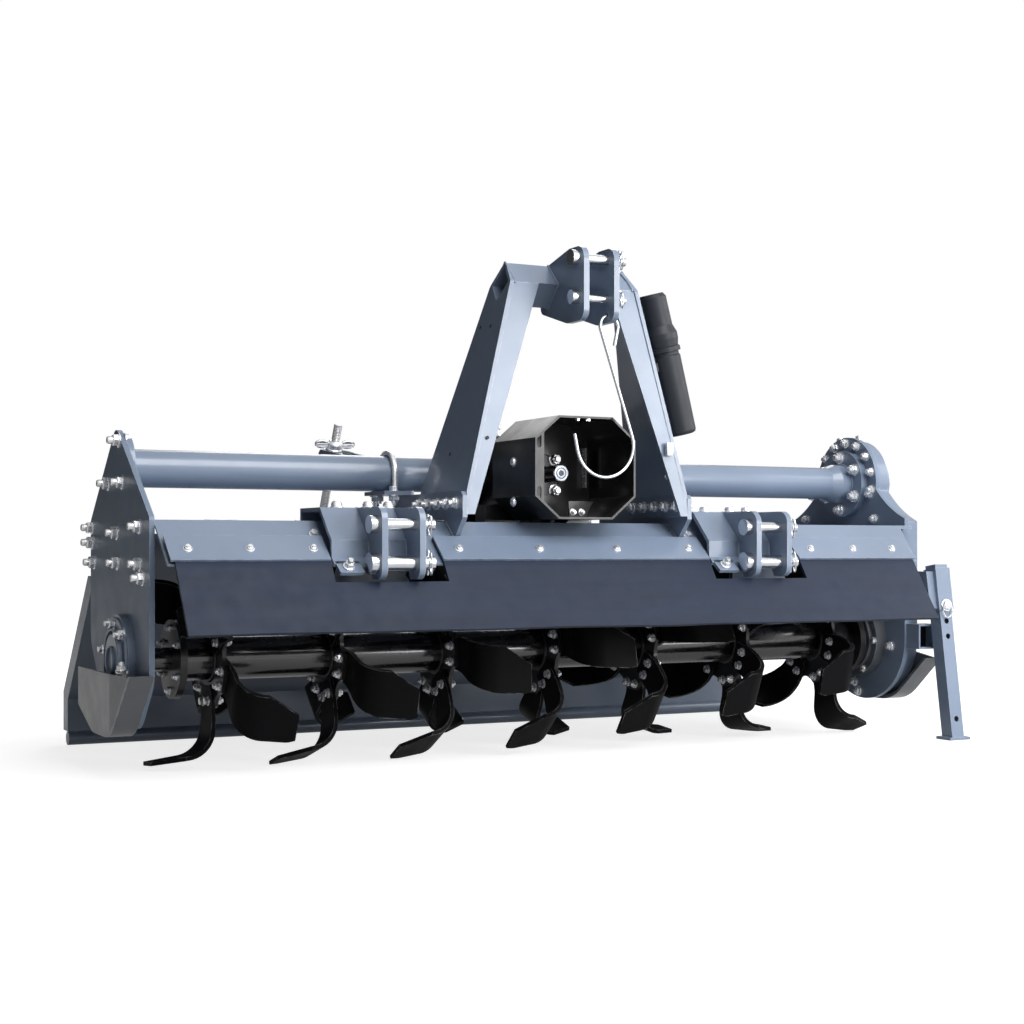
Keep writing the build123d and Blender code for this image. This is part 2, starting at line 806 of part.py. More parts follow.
def pto_shaft():
    """Splined stub that the tractor's driveline slides on, with the groove that its lock snaps into."""
    profile = Circle(pto_root_r)
    for k in range(spline_count // 2):
        profile += Rot(0, 0, k * 360 / spline_count) * Rectangle(2 * pto_r, spline_width)
    profile &= Circle(pto_r)
    splines = slab_y(Pos(gearbox_x, pto_z) * profile, nose_y - pto_length, nose_y)
    groove = pto_groove_place - pto_length
    splines -= pto_bar(groove, groove + pto_groove_width, pto_r + 1) - pto_bar(
        groove, groove + pto_groove_width, pto_root_r)
    return splines + pto_bar(-pto_journal_out, pto_depth - pto_end_gap, pto_journal_r)


def pto_shield():
    """Eight-sided sheet tunnel with a back plate, and a slotted lip inside its left front edge."""
    left = hitch_x - shield_half_x
    right = hitch_x + shield_half_x

    def octagon(inset):
        chamfer_x = shield_chamfer_x - inset * 0.45
        chamfer_z = shield_chamfer_z - inset * 0.45
        x0, x1 = left + inset, right - inset
        z0, z1 = shield_bottom_z + inset, shield_top_z - inset
        return polygon([
            (x0 + chamfer_x, z0), (x1 - chamfer_x, z0), (x1, z0 + chamfer_z), (x1, z1 - chamfer_z),
            (x1 - chamfer_x, z1), (x0 + chamfer_x, z1), (x0, z1 - chamfer_z), (x0, z0 + chamfer_z),
        ])

    shield = slab_y(octagon(0) - octagon(shield_sheet), shield_front_y, shield_rear_y)
    back = octagon(shield_sheet) - Pos(gearbox_x, pto_z) * Circle(shield_hole_r)
    shield += slab_y(back, shield_rear_y - shield_sheet, shield_rear_y)
    lip_x = left + shield_lip
    lip = octagon(shield_sheet) & rectangle(left, shield_bottom_z, lip_x, shield_top_z)
    middle_z = (shield_bottom_z + shield_top_z) / 2
    for z in (middle_z - shield_slot_step / 2, middle_z + shield_slot_step / 2):
        lip -= Pos((left + shield_sheet + lip_x) / 2, z) * SlotOverall(*shield_slot, rotation=90)
    lip_y = shield_front_y + shield_lip_back
    return shield + slab_y(lip, lip_y, lip_y + shield_sheet)


def shield_bracket():
    """Small foot between the shield and the deck."""
    x = hitch_x + 42
    foot = polygon([(x - 30, deck_z), (x + 30, deck_z), (x + 22, shield_bottom_z), (x - 22, shield_bottom_z)])
    return slab_y(foot, deck_front_y + 6, deck_front_y + 66)


# ---------------------------------------------------------------- mast
def leg_line(side, z):
    """X of a leg's outer face, on its leaning part."""
    lean = (leg_bottom_half - leg_top_half) / (leg_top_z - leg_bend_z)
    return hitch_x + side * (leg_bottom_half - (z - leg_bend_z) * lean)


def cross_section(side_length):
    """A square on its corner, at the cross tube's place."""
    return Pos(cross_y, leg_top_z) * Rot(0, 0, 45) * Rectangle(side_length, side_length)


def mast_leg(side):
    """One leg: a bent web with a tapering flange along its front edge, holed for the cross tube."""
    bottom = hitch_x + side * leg_bottom_half
    top = hitch_x + side * leg_top_half
    crown_z = leg_top_z + cross_side / sqrt(2) + leg_crown
    line = [(bottom, leg_bottom_z), (bottom, leg_bend_z), (leg_line(side, crown_z), crown_z)]
    web = slab_y(bent(line, side * leg_plate), leg_front_bottom_y - 20, leg_rear_bottom_y + 20)
    side_view = rounded([
        (leg_front_bottom_y, leg_bottom_z, 0),
        (leg_rear_bottom_y, leg_bottom_z, 0),
        (leg_rear_bottom_y, leg_bend_z, 30),
        (leg_rear_top_y, leg_top_z, 20),
        (cross_y, crown_z, 10),
        (leg_front_top_y - 3, leg_top_z, 10),
    ])
    web &= slab_x(side_view, -far, far)
    front = slab_y(polygon([
        (bottom, leg_bottom_z),
        (bottom, leg_bend_z),
        (top, leg_top_z),
        (top - side * leg_flange_top, leg_top_z),
        (bottom - side * leg_flange_bottom, leg_bottom_z),
    ]), leg_front_bottom_y - 20, leg_rear_bottom_y)
    band = bent([(leg_front_top_y, leg_top_z), (leg_front_bottom_y, leg_bottom_z)], leg_plate)
    leg = web + (front & slab_x(band, -far, far))
    return leg - slab_x(cross_section(cross_side), -far, far)


def mast_cross_tube():
    """Square tube turned on its corner. It passes through the legs, and its open ends lie flush."""
    low = leg_top_z - cross_side
    high = leg_top_z + cross_side
    between = polygon([
        (leg_line(-1, low), low),
        (leg_line(1, low), low),
        (leg_line(1, high), high),
        (leg_line(-1, high), high),
    ])
    tube = slab_x(cross_section(cross_side) - cross_section(cross_side - 2 * cross_wall), -far, far)
    return tube & slab_y(between, cross_y - cross_side, cross_y + cross_side)


def gusset(side):
    """Upright plate on the deck: the leg bolts to it, and its tail carries the tube's saddle."""
    outline = polygon([
        (gusset_rear_y, deck_z),
        (gusset_rear_y, saddle_z - saddle_thick),
        (leg_front_bottom_y + 8, saddle_z - saddle_thick),
        (leg_front_bottom_y, saddle_z - saddle_thick - 8),
        (leg_front_bottom_y, leg_bottom_z - 6),
        on_slope(strip_start - gusset_toe_gap),
        on_slope(0),
    ])
    inner = hitch_x + side * leg_bottom_half
    return slab_x(outline, inner, inner + side * gusset_thick)


def tube_saddle(side):
    """Plate on the gusset's tail, under the tube."""
    inner = hitch_x + side * leg_bottom_half
    plate = polygon([
        (inner, tube_y - tube_r - saddle_front),
        (inner + side * saddle_width, tube_y - tube_r - saddle_front),
        (inner + side * saddle_width, tube_y + tube_r + saddle_rear),
        (inner, tube_y + tube_r + saddle_rear),
    ])
    x = inner + side * saddle_width * saddle_bolt_share
    for y in (tube_y - tube_r - u_bolt_r, tube_y + tube_r + u_bolt_r):
        plate -= Pos(x, y) * Circle(u_bolt_r + pin_gap)
    return slab_z(plate, saddle_z - saddle_thick, saddle_z)


def tube_u_bolt(side):
    """Round bar bent over the tube, its legs through the saddle."""
    x = hitch_x + side * (leg_bottom_half + saddle_width * saddle_bolt_share)
    reach = tube_r + u_bolt_r
    low = saddle_z - saddle_thick - 16
    path = Wire([
        Line((x, tube_y - reach, low), (x, tube_y - reach, tube_z)),
        ThreePointArc((x, tube_y - reach, tube_z), (x, tube_y, tube_z + reach), (x, tube_y + reach, tube_z)),
        Line((x, tube_y + reach, tube_z), (x, tube_y + reach, low)),
    ])
    bolt = sweep(Plane(origin=(x, tube_y - reach, low), z_dir=(0, 0, 1)) * Circle(u_bolt_r), path)
    for y in (tube_y - reach, tube_y + reach):
        nut = Pos(x, y) * RegularPolygon(u_bolt_r * 1.8, 6)
        bolt += slab_z(nut, saddle_z - saddle_thick - 11, saddle_z - saddle_thick)
    return bolt


# ---------------------------------------------------------------- hitch
def top_clevis():
    """Two plates on the mast's cross tube, with two pin heights."""
    clevis = None
    for side in (-1, 1):
        x0 = top_clevis_x + side * top_clevis_gap / 2
        x1 = x0 + side * clevis_plate
        outline = rounded([
            (clevis_front_y, top_clevis_bottom_z, 22),
            (clevis_front_y, top_clevis_top_z, 26),
            (clevis_front_y + 60, top_clevis_top_z, 26),
            (top_clevis_rear_y, leg_top_z + 36, 16),
            (top_clevis_rear_y, leg_top_z - 50, 16),
            (clevis_front_y + 70, top_clevis_bottom_z, 22),
        ])
        for z, radius in ((top_pin_z, top_pin_r), (low_top_pin_z, low_top_pin_r)):
            outline -= disc(top_pin_y, z, radius + pin_gap)
        outline -= cross_section(cross_side)
        if side > 0:
            outline -= disc(hook_plane_y, hook_hole_z(), hook_hole_r)
        plate = slab_x(outline, x0, x1)
        clevis = plate if clevis is None else clevis + plate
    return Compound(clevis.solids())


def hitch_pin(x, y, z, radius, gap):
    """A pin through two clevis plates, with its head on the left and a groove end on the right."""
    half = gap / 2 + clevis_plate
    pin = slab_x(disc(y, z, radius), x - half, x + half + pin_tail)
    return pin + slab_x(disc(y, z, radius + 6), x - half - pin_head, x - half)


def top_pins():
    return Compound([
        hitch_pin(top_clevis_x, top_pin_y, top_pin_z, top_pin_r, top_clevis_gap),
        hitch_pin(top_clevis_x, top_pin_y, low_top_pin_z, low_top_pin_r, top_clevis_gap),
    ])


def hitch_bracket(x):
    """Bent bracket bolted over the hood's front edge, which carries a lower clevis."""
    top = deck_z + bracket_height
    line = [
        (bracket_rear_y, deck_z),
        (bracket_rear_y, top),
        (bracket_knee_y + bracket_lean, top),
        (bracket_knee_y, bracket_knee_z),
        (bracket_knee_y, on_slope_z(bracket_knee_y)),
        (lip_y, lip_z),
        on_slope(slope_length + bracket_tab),
    ]
    return slab_x(bent(line, -bracket_plate), x - bracket_left, x + clevis_half)


def lower_clevis(x):
    """Two pin plates welded to the face of the hitch bracket."""
    plates = []
    for side in (-1, 1):
        x0 = x + side * clevis_gap / 2
        plate = rounded([
            (clevis_front_y, clevis_bottom_z, clevis_round),
            (clevis_front_y, clevis_top_z, clevis_round),
            (bracket_knee_y + bracket_lean, clevis_top_z, 0),
            (bracket_knee_y, bracket_knee_z, 0),
            (bracket_knee_y, on_slope_z(bracket_knee_y), 0),
            (lip_y, lip_z, 0),
            (lip_y - clevis_undercut, clevis_bottom_z, 0),
        ])
        for z, radius in ((upper_pin_z, upper_pin_r), (heavy_pin_z, heavy_pin_r)):
            plate -= disc(lower_pin_y, z, radius + pin_gap)
        plate = slab_x(plate, x0, x0 + side * clevis_plate) - hitch_bracket(x)
        plates += [max(plate.solids(), key=lambda piece: piece.volume)]
    return Compound(plates)


def on_slope_z(y):
    """Height of the sloping front at a given Y."""
    return deck_z - (deck_front_y - y) * tan(slope)


def lower_pins(x):
    return Compound([
        hitch_pin(x, lower_pin_y, upper_pin_z, upper_pin_r, clevis_gap),
        hitch_pin(x, lower_pin_y, heavy_pin_z, heavy_pin_r, clevis_gap),
    ])


def hook_hole_z():
    """The hook's curved wire rests on the bottom of its hole, at the plate's two faces."""
    sag = hook_top_r - sqrt(hook_top_r ** 2 - (clevis_plate / 2) ** 2)
    return hook_top_z - sag - hook_r - 2 * pin_gap + hook_hole_r


def driveline_hook():
    """Bent wire that hangs from the top clevis and holds the driveline when it is parked."""
    hole_x = top_clevis_x + top_clevis_gap / 2 + clevis_plate / 2
    top = Vector(hole_x, hook_top_z - hook_top_r)
    loop = Vector(hole_x - hook_loop_shift, hook_top_z - hook_drop)
    span = loop - top
    swing = acos((hook_top_r + hook_loop_r) / span.length)
    down = atan2(span.Y, span.X)
    normal = Vector(cos(down - swing), sin(down - swing))
    leave = top + normal * hook_top_r
    meet = loop - normal * hook_loop_r
    turn = radians(hook_curl_deg)
    side = Vector(cos(turn), -sin(turn))
    along = Vector(sin(turn), cos(turn))
    top_right = top + side * hook_top_r
    loop_left = loop - Vector(cos(turn), sin(turn)) * hook_loop_r
    away = Vector(-sin(turn), cos(turn))

    def at(point):
        return Vector(point.X, hook_plane_y, point.Y)

    path = Wire([
        Line(at(top_right - along * hook_end), at(top_right)),
        ThreePointArc(at(top_right), at(top + Vector(0, hook_top_r)), at(leave)),
        Line(at(leave), at(meet)),
        ThreePointArc(at(meet), at(loop - Vector(0, hook_loop_r)), at(loop_left)),
        Line(at(loop_left), at(loop_left + away * hook_end)),
    ])
    start = Plane(origin=at(top_right - along * hook_end), z_dir=at(along) - at(Vector(0, 0)))
    return sweep(start * Circle(hook_r), path)


# ---------------------------------------------------------------- skids
def skid(side):
    """Curved runner under the end of the machine, with a guard plate on spacers outside it."""
    seat = hub_face_x if side < 0 else cover_x + case_cover_thick
    outer = side * skid_outer_x
    inner = outer - side * skid_width
    trim = 0.0 if side < 0 else skid_right_trim
    rise = (skid_front_z - skid_bottom_z) / (skid_flat_front_y - skid_front_y)
    front_y = skid_front_y + trim
    front_z = skid_front_z - trim * rise
    outside = rounded([
        (skid_rear_y, skid_rear_z, 0),
        (skid_flat_rear_y, skid_bottom_z, skid_rear_round),
        (skid_flat_front_y, skid_bottom_z, skid_front_round),
        (front_y, front_z, 0),
        (front_y, far, 0),
        (skid_rear_y, far, 0),
    ])
    raised = Pos(0, skid_sheet) * outside
    runner = slab_x(outside - raised - rectangle(-far, front_z, far, far), inner, outer)
    runner -= slab_x(rectangle(skid_rear_y - 30, skid_rear_z + skid_sheet, far, far), inner, outer)
    box = outside & rectangle(guard_front_y, 0, far, guard_top_z)
    skid_piece = runner + slab_x(box, outer - side * guard_sheet, outer)
    plan = polygon([
        (outer - side * guard_sheet, guard_front_y),
        (outer, guard_front_y),
        (outer - side * guard_turn, front_y),
        (outer - side * (guard_turn + guard_sheet), front_y),
    ])
    facet = outside & polygon([
        (guard_front_y, 0),
        (guard_front_y, guard_top_z),
        (front_y, front_z),
        (front_y, 0),
    ])
    skid_piece += slab_z(plan, 0, guard_top_z) & slab_x(facet, inner, outer)
    for y, z in skid_bolts:
        skid_piece += slab_x(disc(y, z, spacer_r), seat, outer)
    return skid_piece


def rectangle(u0, v0, u1, v1):
    return polygon([(u0, v0), (u1, v0), (u1, v1), (u0, v1)])


# ---------------------------------------------------------------- tailgate
def gate_line():
    """The gate's front face, from the hinge down to the floor bar."""
    return [
        (hinge_y + 3, deck_z - sheet / 2 - gate_top_gap),
        (gate_knee_y, gate_knee_z),
        (gate_foot_y, gate_foot_z),
        (gate_foot_y, 2 * tail_bar_r),
    ]


def lug_place():
    """Where the rod's pin sits, behind the gate's sloping part."""
    top = Vector(gate_knee_y, gate_knee_z)
    foot = Vector(gate_foot_y, gate_foot_z)
    run = (foot - top).normalized()
    out = Vector(-run.Y, run.X)
    return top + (foot - top) * lug_along + out * lug_height


def rod_places():
    """X of the two depth rods, just outside the saddles."""
    reach = leg_bottom_half + saddle_width + rod_saddle_gap
    return [hitch_x - reach, hitch_x + reach]


def tailgate():
    """Bent sheet with a rib at each end, hinge knuckles, and slotted lugs for the depth rods."""
    gate = slab_x(bent(gate_line(), sheet), left_x, cover_x)
    rib = bent(gate_line()[1:], gate_rib_depth)
    gate += slab_x(rib, left_x, left_x + gate_rib_thick)
    gate += slab_x(rib, cover_x - gate_rib_thick, cover_x)
    for x0, x1 in knuckles(1):
        gate += knuckle(x0, x1, hinge_rod_r + hinge_gap)
        tab = polygon([
            (hinge_y + 3, deck_z - sheet / 2 - hinge_rod_r - 2),
            (hinge_y + 3 + sheet, deck_z - sheet / 2 - hinge_rod_r - 2),
            (hinge_y + 3 + sheet, deck_z - sheet / 2 - gate_top_gap - 2),
            (hinge_y + 3, deck_z - sheet / 2 - gate_top_gap - 2),
        ])
        gate += slab_x(tab, x0, x1) - slab_x(disc(hinge_y, deck_z - sheet / 2, hinge_rod_r + hinge_gap),
                                             x0, x1)
    place = lug_place()
    rod_dir = (Vector(rod_guide_y, rod_guide_z) - place).normalized()
    turn = degrees(atan2(rod_dir.Y, rod_dir.X))
    run = (Vector(gate_foot_y, gate_foot_z) - Vector(gate_knee_y, gate_knee_z)).normalized()
    seat = place - Vector(-run.Y, run.X) * lug_height
    lug = make_hull(
        (disc(place.X, place.Y, lug_round).edges()
         + Line(seat - run * 34, seat + run * 34).edges()))
    slot = Pos(place.X, place.Y) * Rot(0, 0, turn) * SlotOverall(
        2 * (fork_float + fork_pin_r + guide_gap), 2 * (fork_pin_r + fork_side_float))
    for x in rod_places():
        gate += slab_x(lug - slot, x - lug_thick / 2, x + lug_thick / 2)
    return gate


def tail_bar():
    """Round bar along the gate's foot, on the floor."""
    return slab_x(disc(gate_foot_y + sheet / 2, tail_bar_r, tail_bar_r), left_x, cover_x)


# ---------------------------------------------------------------- depth rods
def rod_bracket(x):
    """Two arms behind the tube, with the guide's pivot between their ends."""
    arms = []
    for side in (-1, 1):
        x0 = x + side * (guide_size / 2 + arm_side_gap)
        arm = make_hull(
            (disc(rod_guide_y, rod_guide_z, arm_round).edges()
             + Line((tube_y, tube_z - tube_r * 0.8), (tube_y + 10, tube_z + tube_r * 0.9)).edges()))
        arm -= disc(tube_y, tube_z, tube_r)
        arm -= disc(rod_guide_y, rod_guide_z, guide_pin_r + pin_gap)
        arms += slab_x(arm, x0, x0 + side * arm_thick).solids()
    return arms


def rod_brackets():
    return Compound([arm for x in rod_places() for arm in rod_bracket(x)])


def rod_frame(x):
    """Plane at the guide, with Z up along the rod."""
    up = Vector(0, rod_guide_y, rod_guide_z) - Vector(0, *lug_place())
    return Plane(origin=(x, rod_guide_y, rod_guide_z), x_dir=(1, 0, 0), z_dir=up)


def rod_length():
    return (Vector(rod_guide_y, rod_guide_z) - lug_place()).length


def rod_guide(x):
    """Swivel block that the depth rod slides through."""
    block = Box(guide_size, guide_size, guide_size) - Cylinder(rod_r + guide_gap, guide_size * 2)
    reach = guide_size / 2 + arm_side_gap + arm_thick
    pins = Rot(0, 90, 0) * Cylinder(guide_pin_r, 2 * reach)
    pins -= Cylinder(guide_size / 2 - 2, guide_size)
    return Compound([(rod_frame(x) * (block + pins)).solids()[0]])


def depth_rod(x):
    """Threaded rod with its stop nut on top of the guide and a fork and pin at its foot."""
    length = rod_length()
    low = -length + lug_round + fork_float + fork_root
    bar = Pos(0, 0, (rod_above + low) / 2) * Cylinder(rod_r, rod_above - low)
    nut_z = guide_size / 2 + guide_gap
    bar += Pos(0, 0, nut_z + nut_length / 2) * Cylinder(nut_r, nut_length)
    bar += Pos(0, 0, nut_z + nut_length - wing_height / 2) * Box(wing_span, wing_thick, wing_height)
    wide = fork_gap + 2 * fork_cheek
    bar += Pos(0, 0, low - fork_bridge / 2) * Box(wide, 2 * fork_round, fork_bridge)
    for side in (-1, 1):
        cheek_x = side * (fork_gap + fork_cheek) / 2
        bar += Pos(cheek_x, 0, (low - length) / 2) * Box(fork_cheek, 2 * fork_round, low + length)
        bar += Pos(cheek_x, 0, -length) * Rot(0, 90, 0) * Cylinder(fork_round, fork_cheek)
    bar += Pos(0, 0, -length) * Rot(0, 90, 0) * Cylinder(fork_pin_r, wide + fork_bridge)
    return rod_frame(x) * bar


# ---------------------------------------------------------------- parking stand
def stand_axis():
    """Up along the leaning leg."""
    lean = radians(stand_lean_deg)
    return Vector(0, sin(lean), cos(lean))


def stand_point(z):
    """The leg's middle at a given height."""
    lean = tan(radians(stand_lean_deg))
    return Vector(stand_x, stand_top_y - (stand_top_z - z) * lean, z)


def stand_frame(z):
    return Plane(origin=stand_point(z), x_dir=(1, 0, 0), z_dir=stand_axis())


def square_tube(side, wall, length):
    outer = Rectangle(side, side)
    inner = Rectangle(side - 2 * wall, side - 2 * wall)
    return extrude(outer - inner, amount=length)


def stand_sleeve():
    """Leaning square sleeve, with the plate that welds it to the gear case."""
    length = (stand_top_z - sleeve_bottom_z) / cos(radians(stand_lean_deg))
    sleeve = stand_frame(sleeve_bottom_z) * square_tube(sleeve_side, sleeve_wall, length)
    edge = stand_x - sleeve_side / 2
    plate = polygon([
        (stand_point(sleeve_bottom_z).Y - 12, sleeve_bottom_z + 6),
        (case_front_y + case_rim, sleeve_bottom_z + 6),
        (case_front_y + case_rim, stand_top_z - 6),
        (stand_point(stand_top_z).Y - 12, stand_top_z - 6),
    ])
    return sleeve + slab_x(plate, cover_x, edge + stand_bite)


def stand_leg():
    """Square leg with adjusting holes and a foot plate that stands flat on the floor."""
    lean = radians(stand_lean_deg)
    length = (stand_top_z + leg_above) / cos(lean)
    leg = stand_frame(0) * square_tube(leg_side, leg_wall, length)
    leg -= slab_z(Pos(stand_x, 0) * Rectangle(4 * leg_side, far), -far, foot_plate / 2)
    for z in leg_hole_heights:
        hole = stand_frame(z) * Rot(90, 0, 0) * Cylinder(leg_hole_r, 2 * leg_side)
        leg -= hole
    foot = Pos(stand_x, stand_point(0).Y) * Rectangle(foot_side, foot_side * 0.8)
    return leg + slab_z(foot, 0, foot_plate)


def stand_receiver():
    """Short square socket on the gear case's front edge, where the stand is stowed."""
    low_x = right_x + 4
    ring = polygon([
        (low_x, receiver_bottom_z),
        (low_x + receiver_side, receiver_bottom_z),
        (low_x + receiver_side, receiver_bottom_z + receiver_side),
        (low_x, receiver_bottom_z + receiver_side),
    ])
    ring -= polygon([
        (low_x + receiver_wall, receiver_bottom_z + receiver_wall),
        (low_x + receiver_side - receiver_wall, receiver_bottom_z + receiver_wall),
        (low_x + receiver_side - receiver_wall, receiver_bottom_z + receiver_side - receiver_wall),
        (low_x + receiver_wall, receiver_bottom_z + receiver_side - receiver_wall),
    ])
    return slab_y(ring, case_front_y - receiver_length, case_front_y)


# ---------------------------------------------------------------- canister
def manual_canister():
    """Round storage canister with a screw cap, clipped to the outside of the right leg."""
    rise = leg_top_z - leg_bend_z
    run = leg_bottom_half - leg_top_half
    lean = Vector(-run, 0, rise).normalized()
    away = Vector(rise, 0, run).normalized()
    low_x = hitch_x + leg_bottom_half - run * (canister_low_z - leg_bend_z) / rise
    base = Vector(low_x, canister_y, canister_low_z) + away * (canister_r + canister_clip)
    plane = Plane(origin=base, x_dir=away, z_dir=lean)
    profile = polygon([
        (0, 0),
        (canister_r - 7, 0),
        (canister_r - 2, 2),
        (canister_r, 7),
        (canister_r, canister_seam - 14),
        (canister_r - 2, canister_seam - 11),
        (canister_r - 2, canister_seam - 5),
        (canister_r + canister_collar, canister_seam - 4),
        (canister_r + canister_collar, canister_seam + 5),
        (canister_r, canister_seam + 7),
        (canister_r + canister_collar, canister_seam + 22),
        (canister_r + canister_collar, canister_seam + 34),
        (canister_r - canister_collar, canister_seam + 50),
        (canister_r - canister_collar - 1, canister_length - 8),
        (canister_r - 3 * canister_collar, canister_length),
        (0, canister_length),
    ])
    body = revolve(Plane.XZ * profile, axis=Axis.Z)
    for share in (0.15, 0.5):
        clip = Pos(-canister_r / 2 - canister_clip / 2, 0, canister_length * share)
        body += clip * Box(canister_r + canister_clip, 30, 18)
    return plane * body


# ---------------------------------------------------------------- the machine
nodes = {
    "end_plate_left": end_plate_left(),
    "hub_left": hub_left(),
    "case_plate_right": case_plate_right(),
    "gear_case_cover": gear_case_cover(),
    "hub_right": hub_right(),
    "filler_plug": filler_plug(),
    "hood_deck": hood_deck(),
    "hood_end_left": hood_end(left_x),
    "hood_end_right": hood_end(right_x - hood_end_thick),
    "hinge_rod": hinge_rod(),
    "flap_strips": flap_strips(),
    "rubber_flap": rubber_flap(),
    "tube_left": tube_left(),
    "tube_right": tube_right(),
    "gearbox": gearbox(),
    "pto_shield": pto_shield(),
    "shield_bracket": shield_bracket(),
    "mast_leg_left": mast_leg(-1),
    "mast_leg_right": mast_leg(1),
    "mast_cross_tube": mast_cross_tube(),
    "gusset_left": gusset(-1),
    "gusset_right": gusset(1),
    "tube_saddles": Compound([tube_saddle(-1), tube_saddle(1)]),
    "tube_u_bolts": Compound([tube_u_bolt(-1), tube_u_bolt(1)]),
    "top_clevis": top_clevis(),
    "top_pins": top_pins(),
    "hitch_bracket_left": hitch_bracket(left_clevis_x),
    "hitch_bracket_right": hitch_bracket(right_clevis_x),
    "lower_clevis_left": lower_clevis(left_clevis_x),
    "lower_clevis_right": lower_clevis(right_clevis_x),
    "lower_pins_left": lower_pins(left_clevis_x),
    "lower_pins_right": lower_pins(right_clevis_x),
    "skid_left": skid(-1),
    "skid_right": skid(1),
    "rod_brackets": rod_brackets(),
    "stand_sleeve": stand_sleeve(),
    "stand_receiver": stand_receiver(),
    "manual_canister": manual_canister(),
    "rotor_shaft": rotor_shaft(),
    "rotor_flanges": rotor_flanges(),
    "pto_shaft": pto_shaft(),
    "tailgate": tailgate(),
    "tail_bar": tail_bar(),
    "rod_guide_left": rod_guide(rod_places()[0]),
    "rod_guide_right": rod_guide(rod_places()[1]),
    "depth_rod_left": depth_rod(rod_places()[0]),
    "depth_rod_right": depth_rod(rod_places()[1]),
    "stand_leg": stand_leg(),
    "driveline_hook": driveline_hook(),
}
for number in range(flange_count):
    nodes[f"tines_{number + 1}"] = tines(number)

whole = Compound([solid for node in nodes.values() for solid in node.solids()]).bounding_box()
shift = Vector(-whole.center().X, -whole.center().Y, -whole.min.Z)
for name, node in nodes.items():
    export_step(Compound((Pos(shift) * node).solids()), f"parts/{name}.step")
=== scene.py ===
"""Rotary tiller: finishes for its plates, and its bolts, pins, welds, rubber and small fittings."""
import json
from math import cos, degrees, pi, radians, sin, tau

import bmesh
import bpy
from bpy.props import FloatProperty, FloatVectorProperty, PointerProperty
from mathutils import Matrix, Vector, noise


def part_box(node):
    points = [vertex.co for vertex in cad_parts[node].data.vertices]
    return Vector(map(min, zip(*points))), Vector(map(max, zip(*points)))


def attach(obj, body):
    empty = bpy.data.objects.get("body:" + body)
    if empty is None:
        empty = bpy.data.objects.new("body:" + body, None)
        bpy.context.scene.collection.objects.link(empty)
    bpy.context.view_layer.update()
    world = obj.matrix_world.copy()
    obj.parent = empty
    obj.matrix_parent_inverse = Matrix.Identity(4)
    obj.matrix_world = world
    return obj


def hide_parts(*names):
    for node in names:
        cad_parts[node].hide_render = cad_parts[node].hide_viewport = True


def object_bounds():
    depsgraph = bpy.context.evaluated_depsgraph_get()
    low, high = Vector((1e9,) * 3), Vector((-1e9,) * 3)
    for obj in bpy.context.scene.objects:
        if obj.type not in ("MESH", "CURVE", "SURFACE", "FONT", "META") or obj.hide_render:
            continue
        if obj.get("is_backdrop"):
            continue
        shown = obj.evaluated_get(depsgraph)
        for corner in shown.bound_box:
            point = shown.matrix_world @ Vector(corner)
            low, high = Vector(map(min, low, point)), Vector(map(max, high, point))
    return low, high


bl_info = {
    "name": "Rotary tiller",
    "version": (1, 0, 0),
    "blender": (4, 5, 0),
    "location": "3D View > Sidebar > Tiller",
    "description": "Dresses a rotary tiller with paint, hardware, welds and rubber",
    "category": "Object",
}

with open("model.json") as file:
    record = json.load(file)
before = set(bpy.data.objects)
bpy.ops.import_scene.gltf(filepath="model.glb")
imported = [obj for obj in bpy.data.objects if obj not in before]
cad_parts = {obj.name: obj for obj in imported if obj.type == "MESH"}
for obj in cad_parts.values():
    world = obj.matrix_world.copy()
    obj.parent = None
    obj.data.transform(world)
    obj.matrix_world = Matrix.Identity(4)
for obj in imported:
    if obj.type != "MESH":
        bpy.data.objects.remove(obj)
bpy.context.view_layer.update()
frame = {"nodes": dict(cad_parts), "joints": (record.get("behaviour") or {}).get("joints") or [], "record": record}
MM = 0.001


# ---------------------------------------------------------------- places taken from the frame
def low(node):
    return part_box(node)[0]


def high(node):
    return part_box(node)[1]


def middle(node):
    lowest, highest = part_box(node)
    return (lowest + highest) / 2


ROTOR = middle("rotor_shaft")
TUBE = middle("tube_left")
PTO = middle("pto_shaft")
DECK_Z = middle("hinge_rod").z + 2.5 * MM
DECK_FRONT_Y = low("shield_bracket").y - 6 * MM
LIP = Vector((0, DECK_FRONT_Y - 95 * MM, DECK_Z - 81 * MM))
SLOPE_RUN = (LIP - Vector((0, DECK_FRONT_Y, DECK_Z))).normalized()
SLOPE_OUT = Vector((0, SLOPE_RUN.z, -SLOPE_RUN.y))
BRACKETS = ("hitch_bracket_left", "hitch_bracket_right")
NOTCH_SIDE = 62 * MM
FLANGES = 7
TINES = 6


def at(x, y, z):
    """A point in mm: across from the middle flange, rearward of the rotor, above the floor."""
    return Vector((middle("tines_4").x + x * MM, ROTOR.y + y * MM, z * MM))


def on_slope(x, distance, height):
    """A point on the sloping front: down from the deck's corner, and out from the sheet."""
    return Vector((x, DECK_FRONT_Y, DECK_Z)) + SLOPE_RUN * distance + SLOPE_OUT * height


def around_x(centre, radius, angle):
    """A point on a circle across X. The angle runs from +Y towards +Z, in degrees."""
    turn = radians(angle)
    return Vector((centre.x, centre.y + radius * cos(turn), centre.z + radius * sin(turn)))


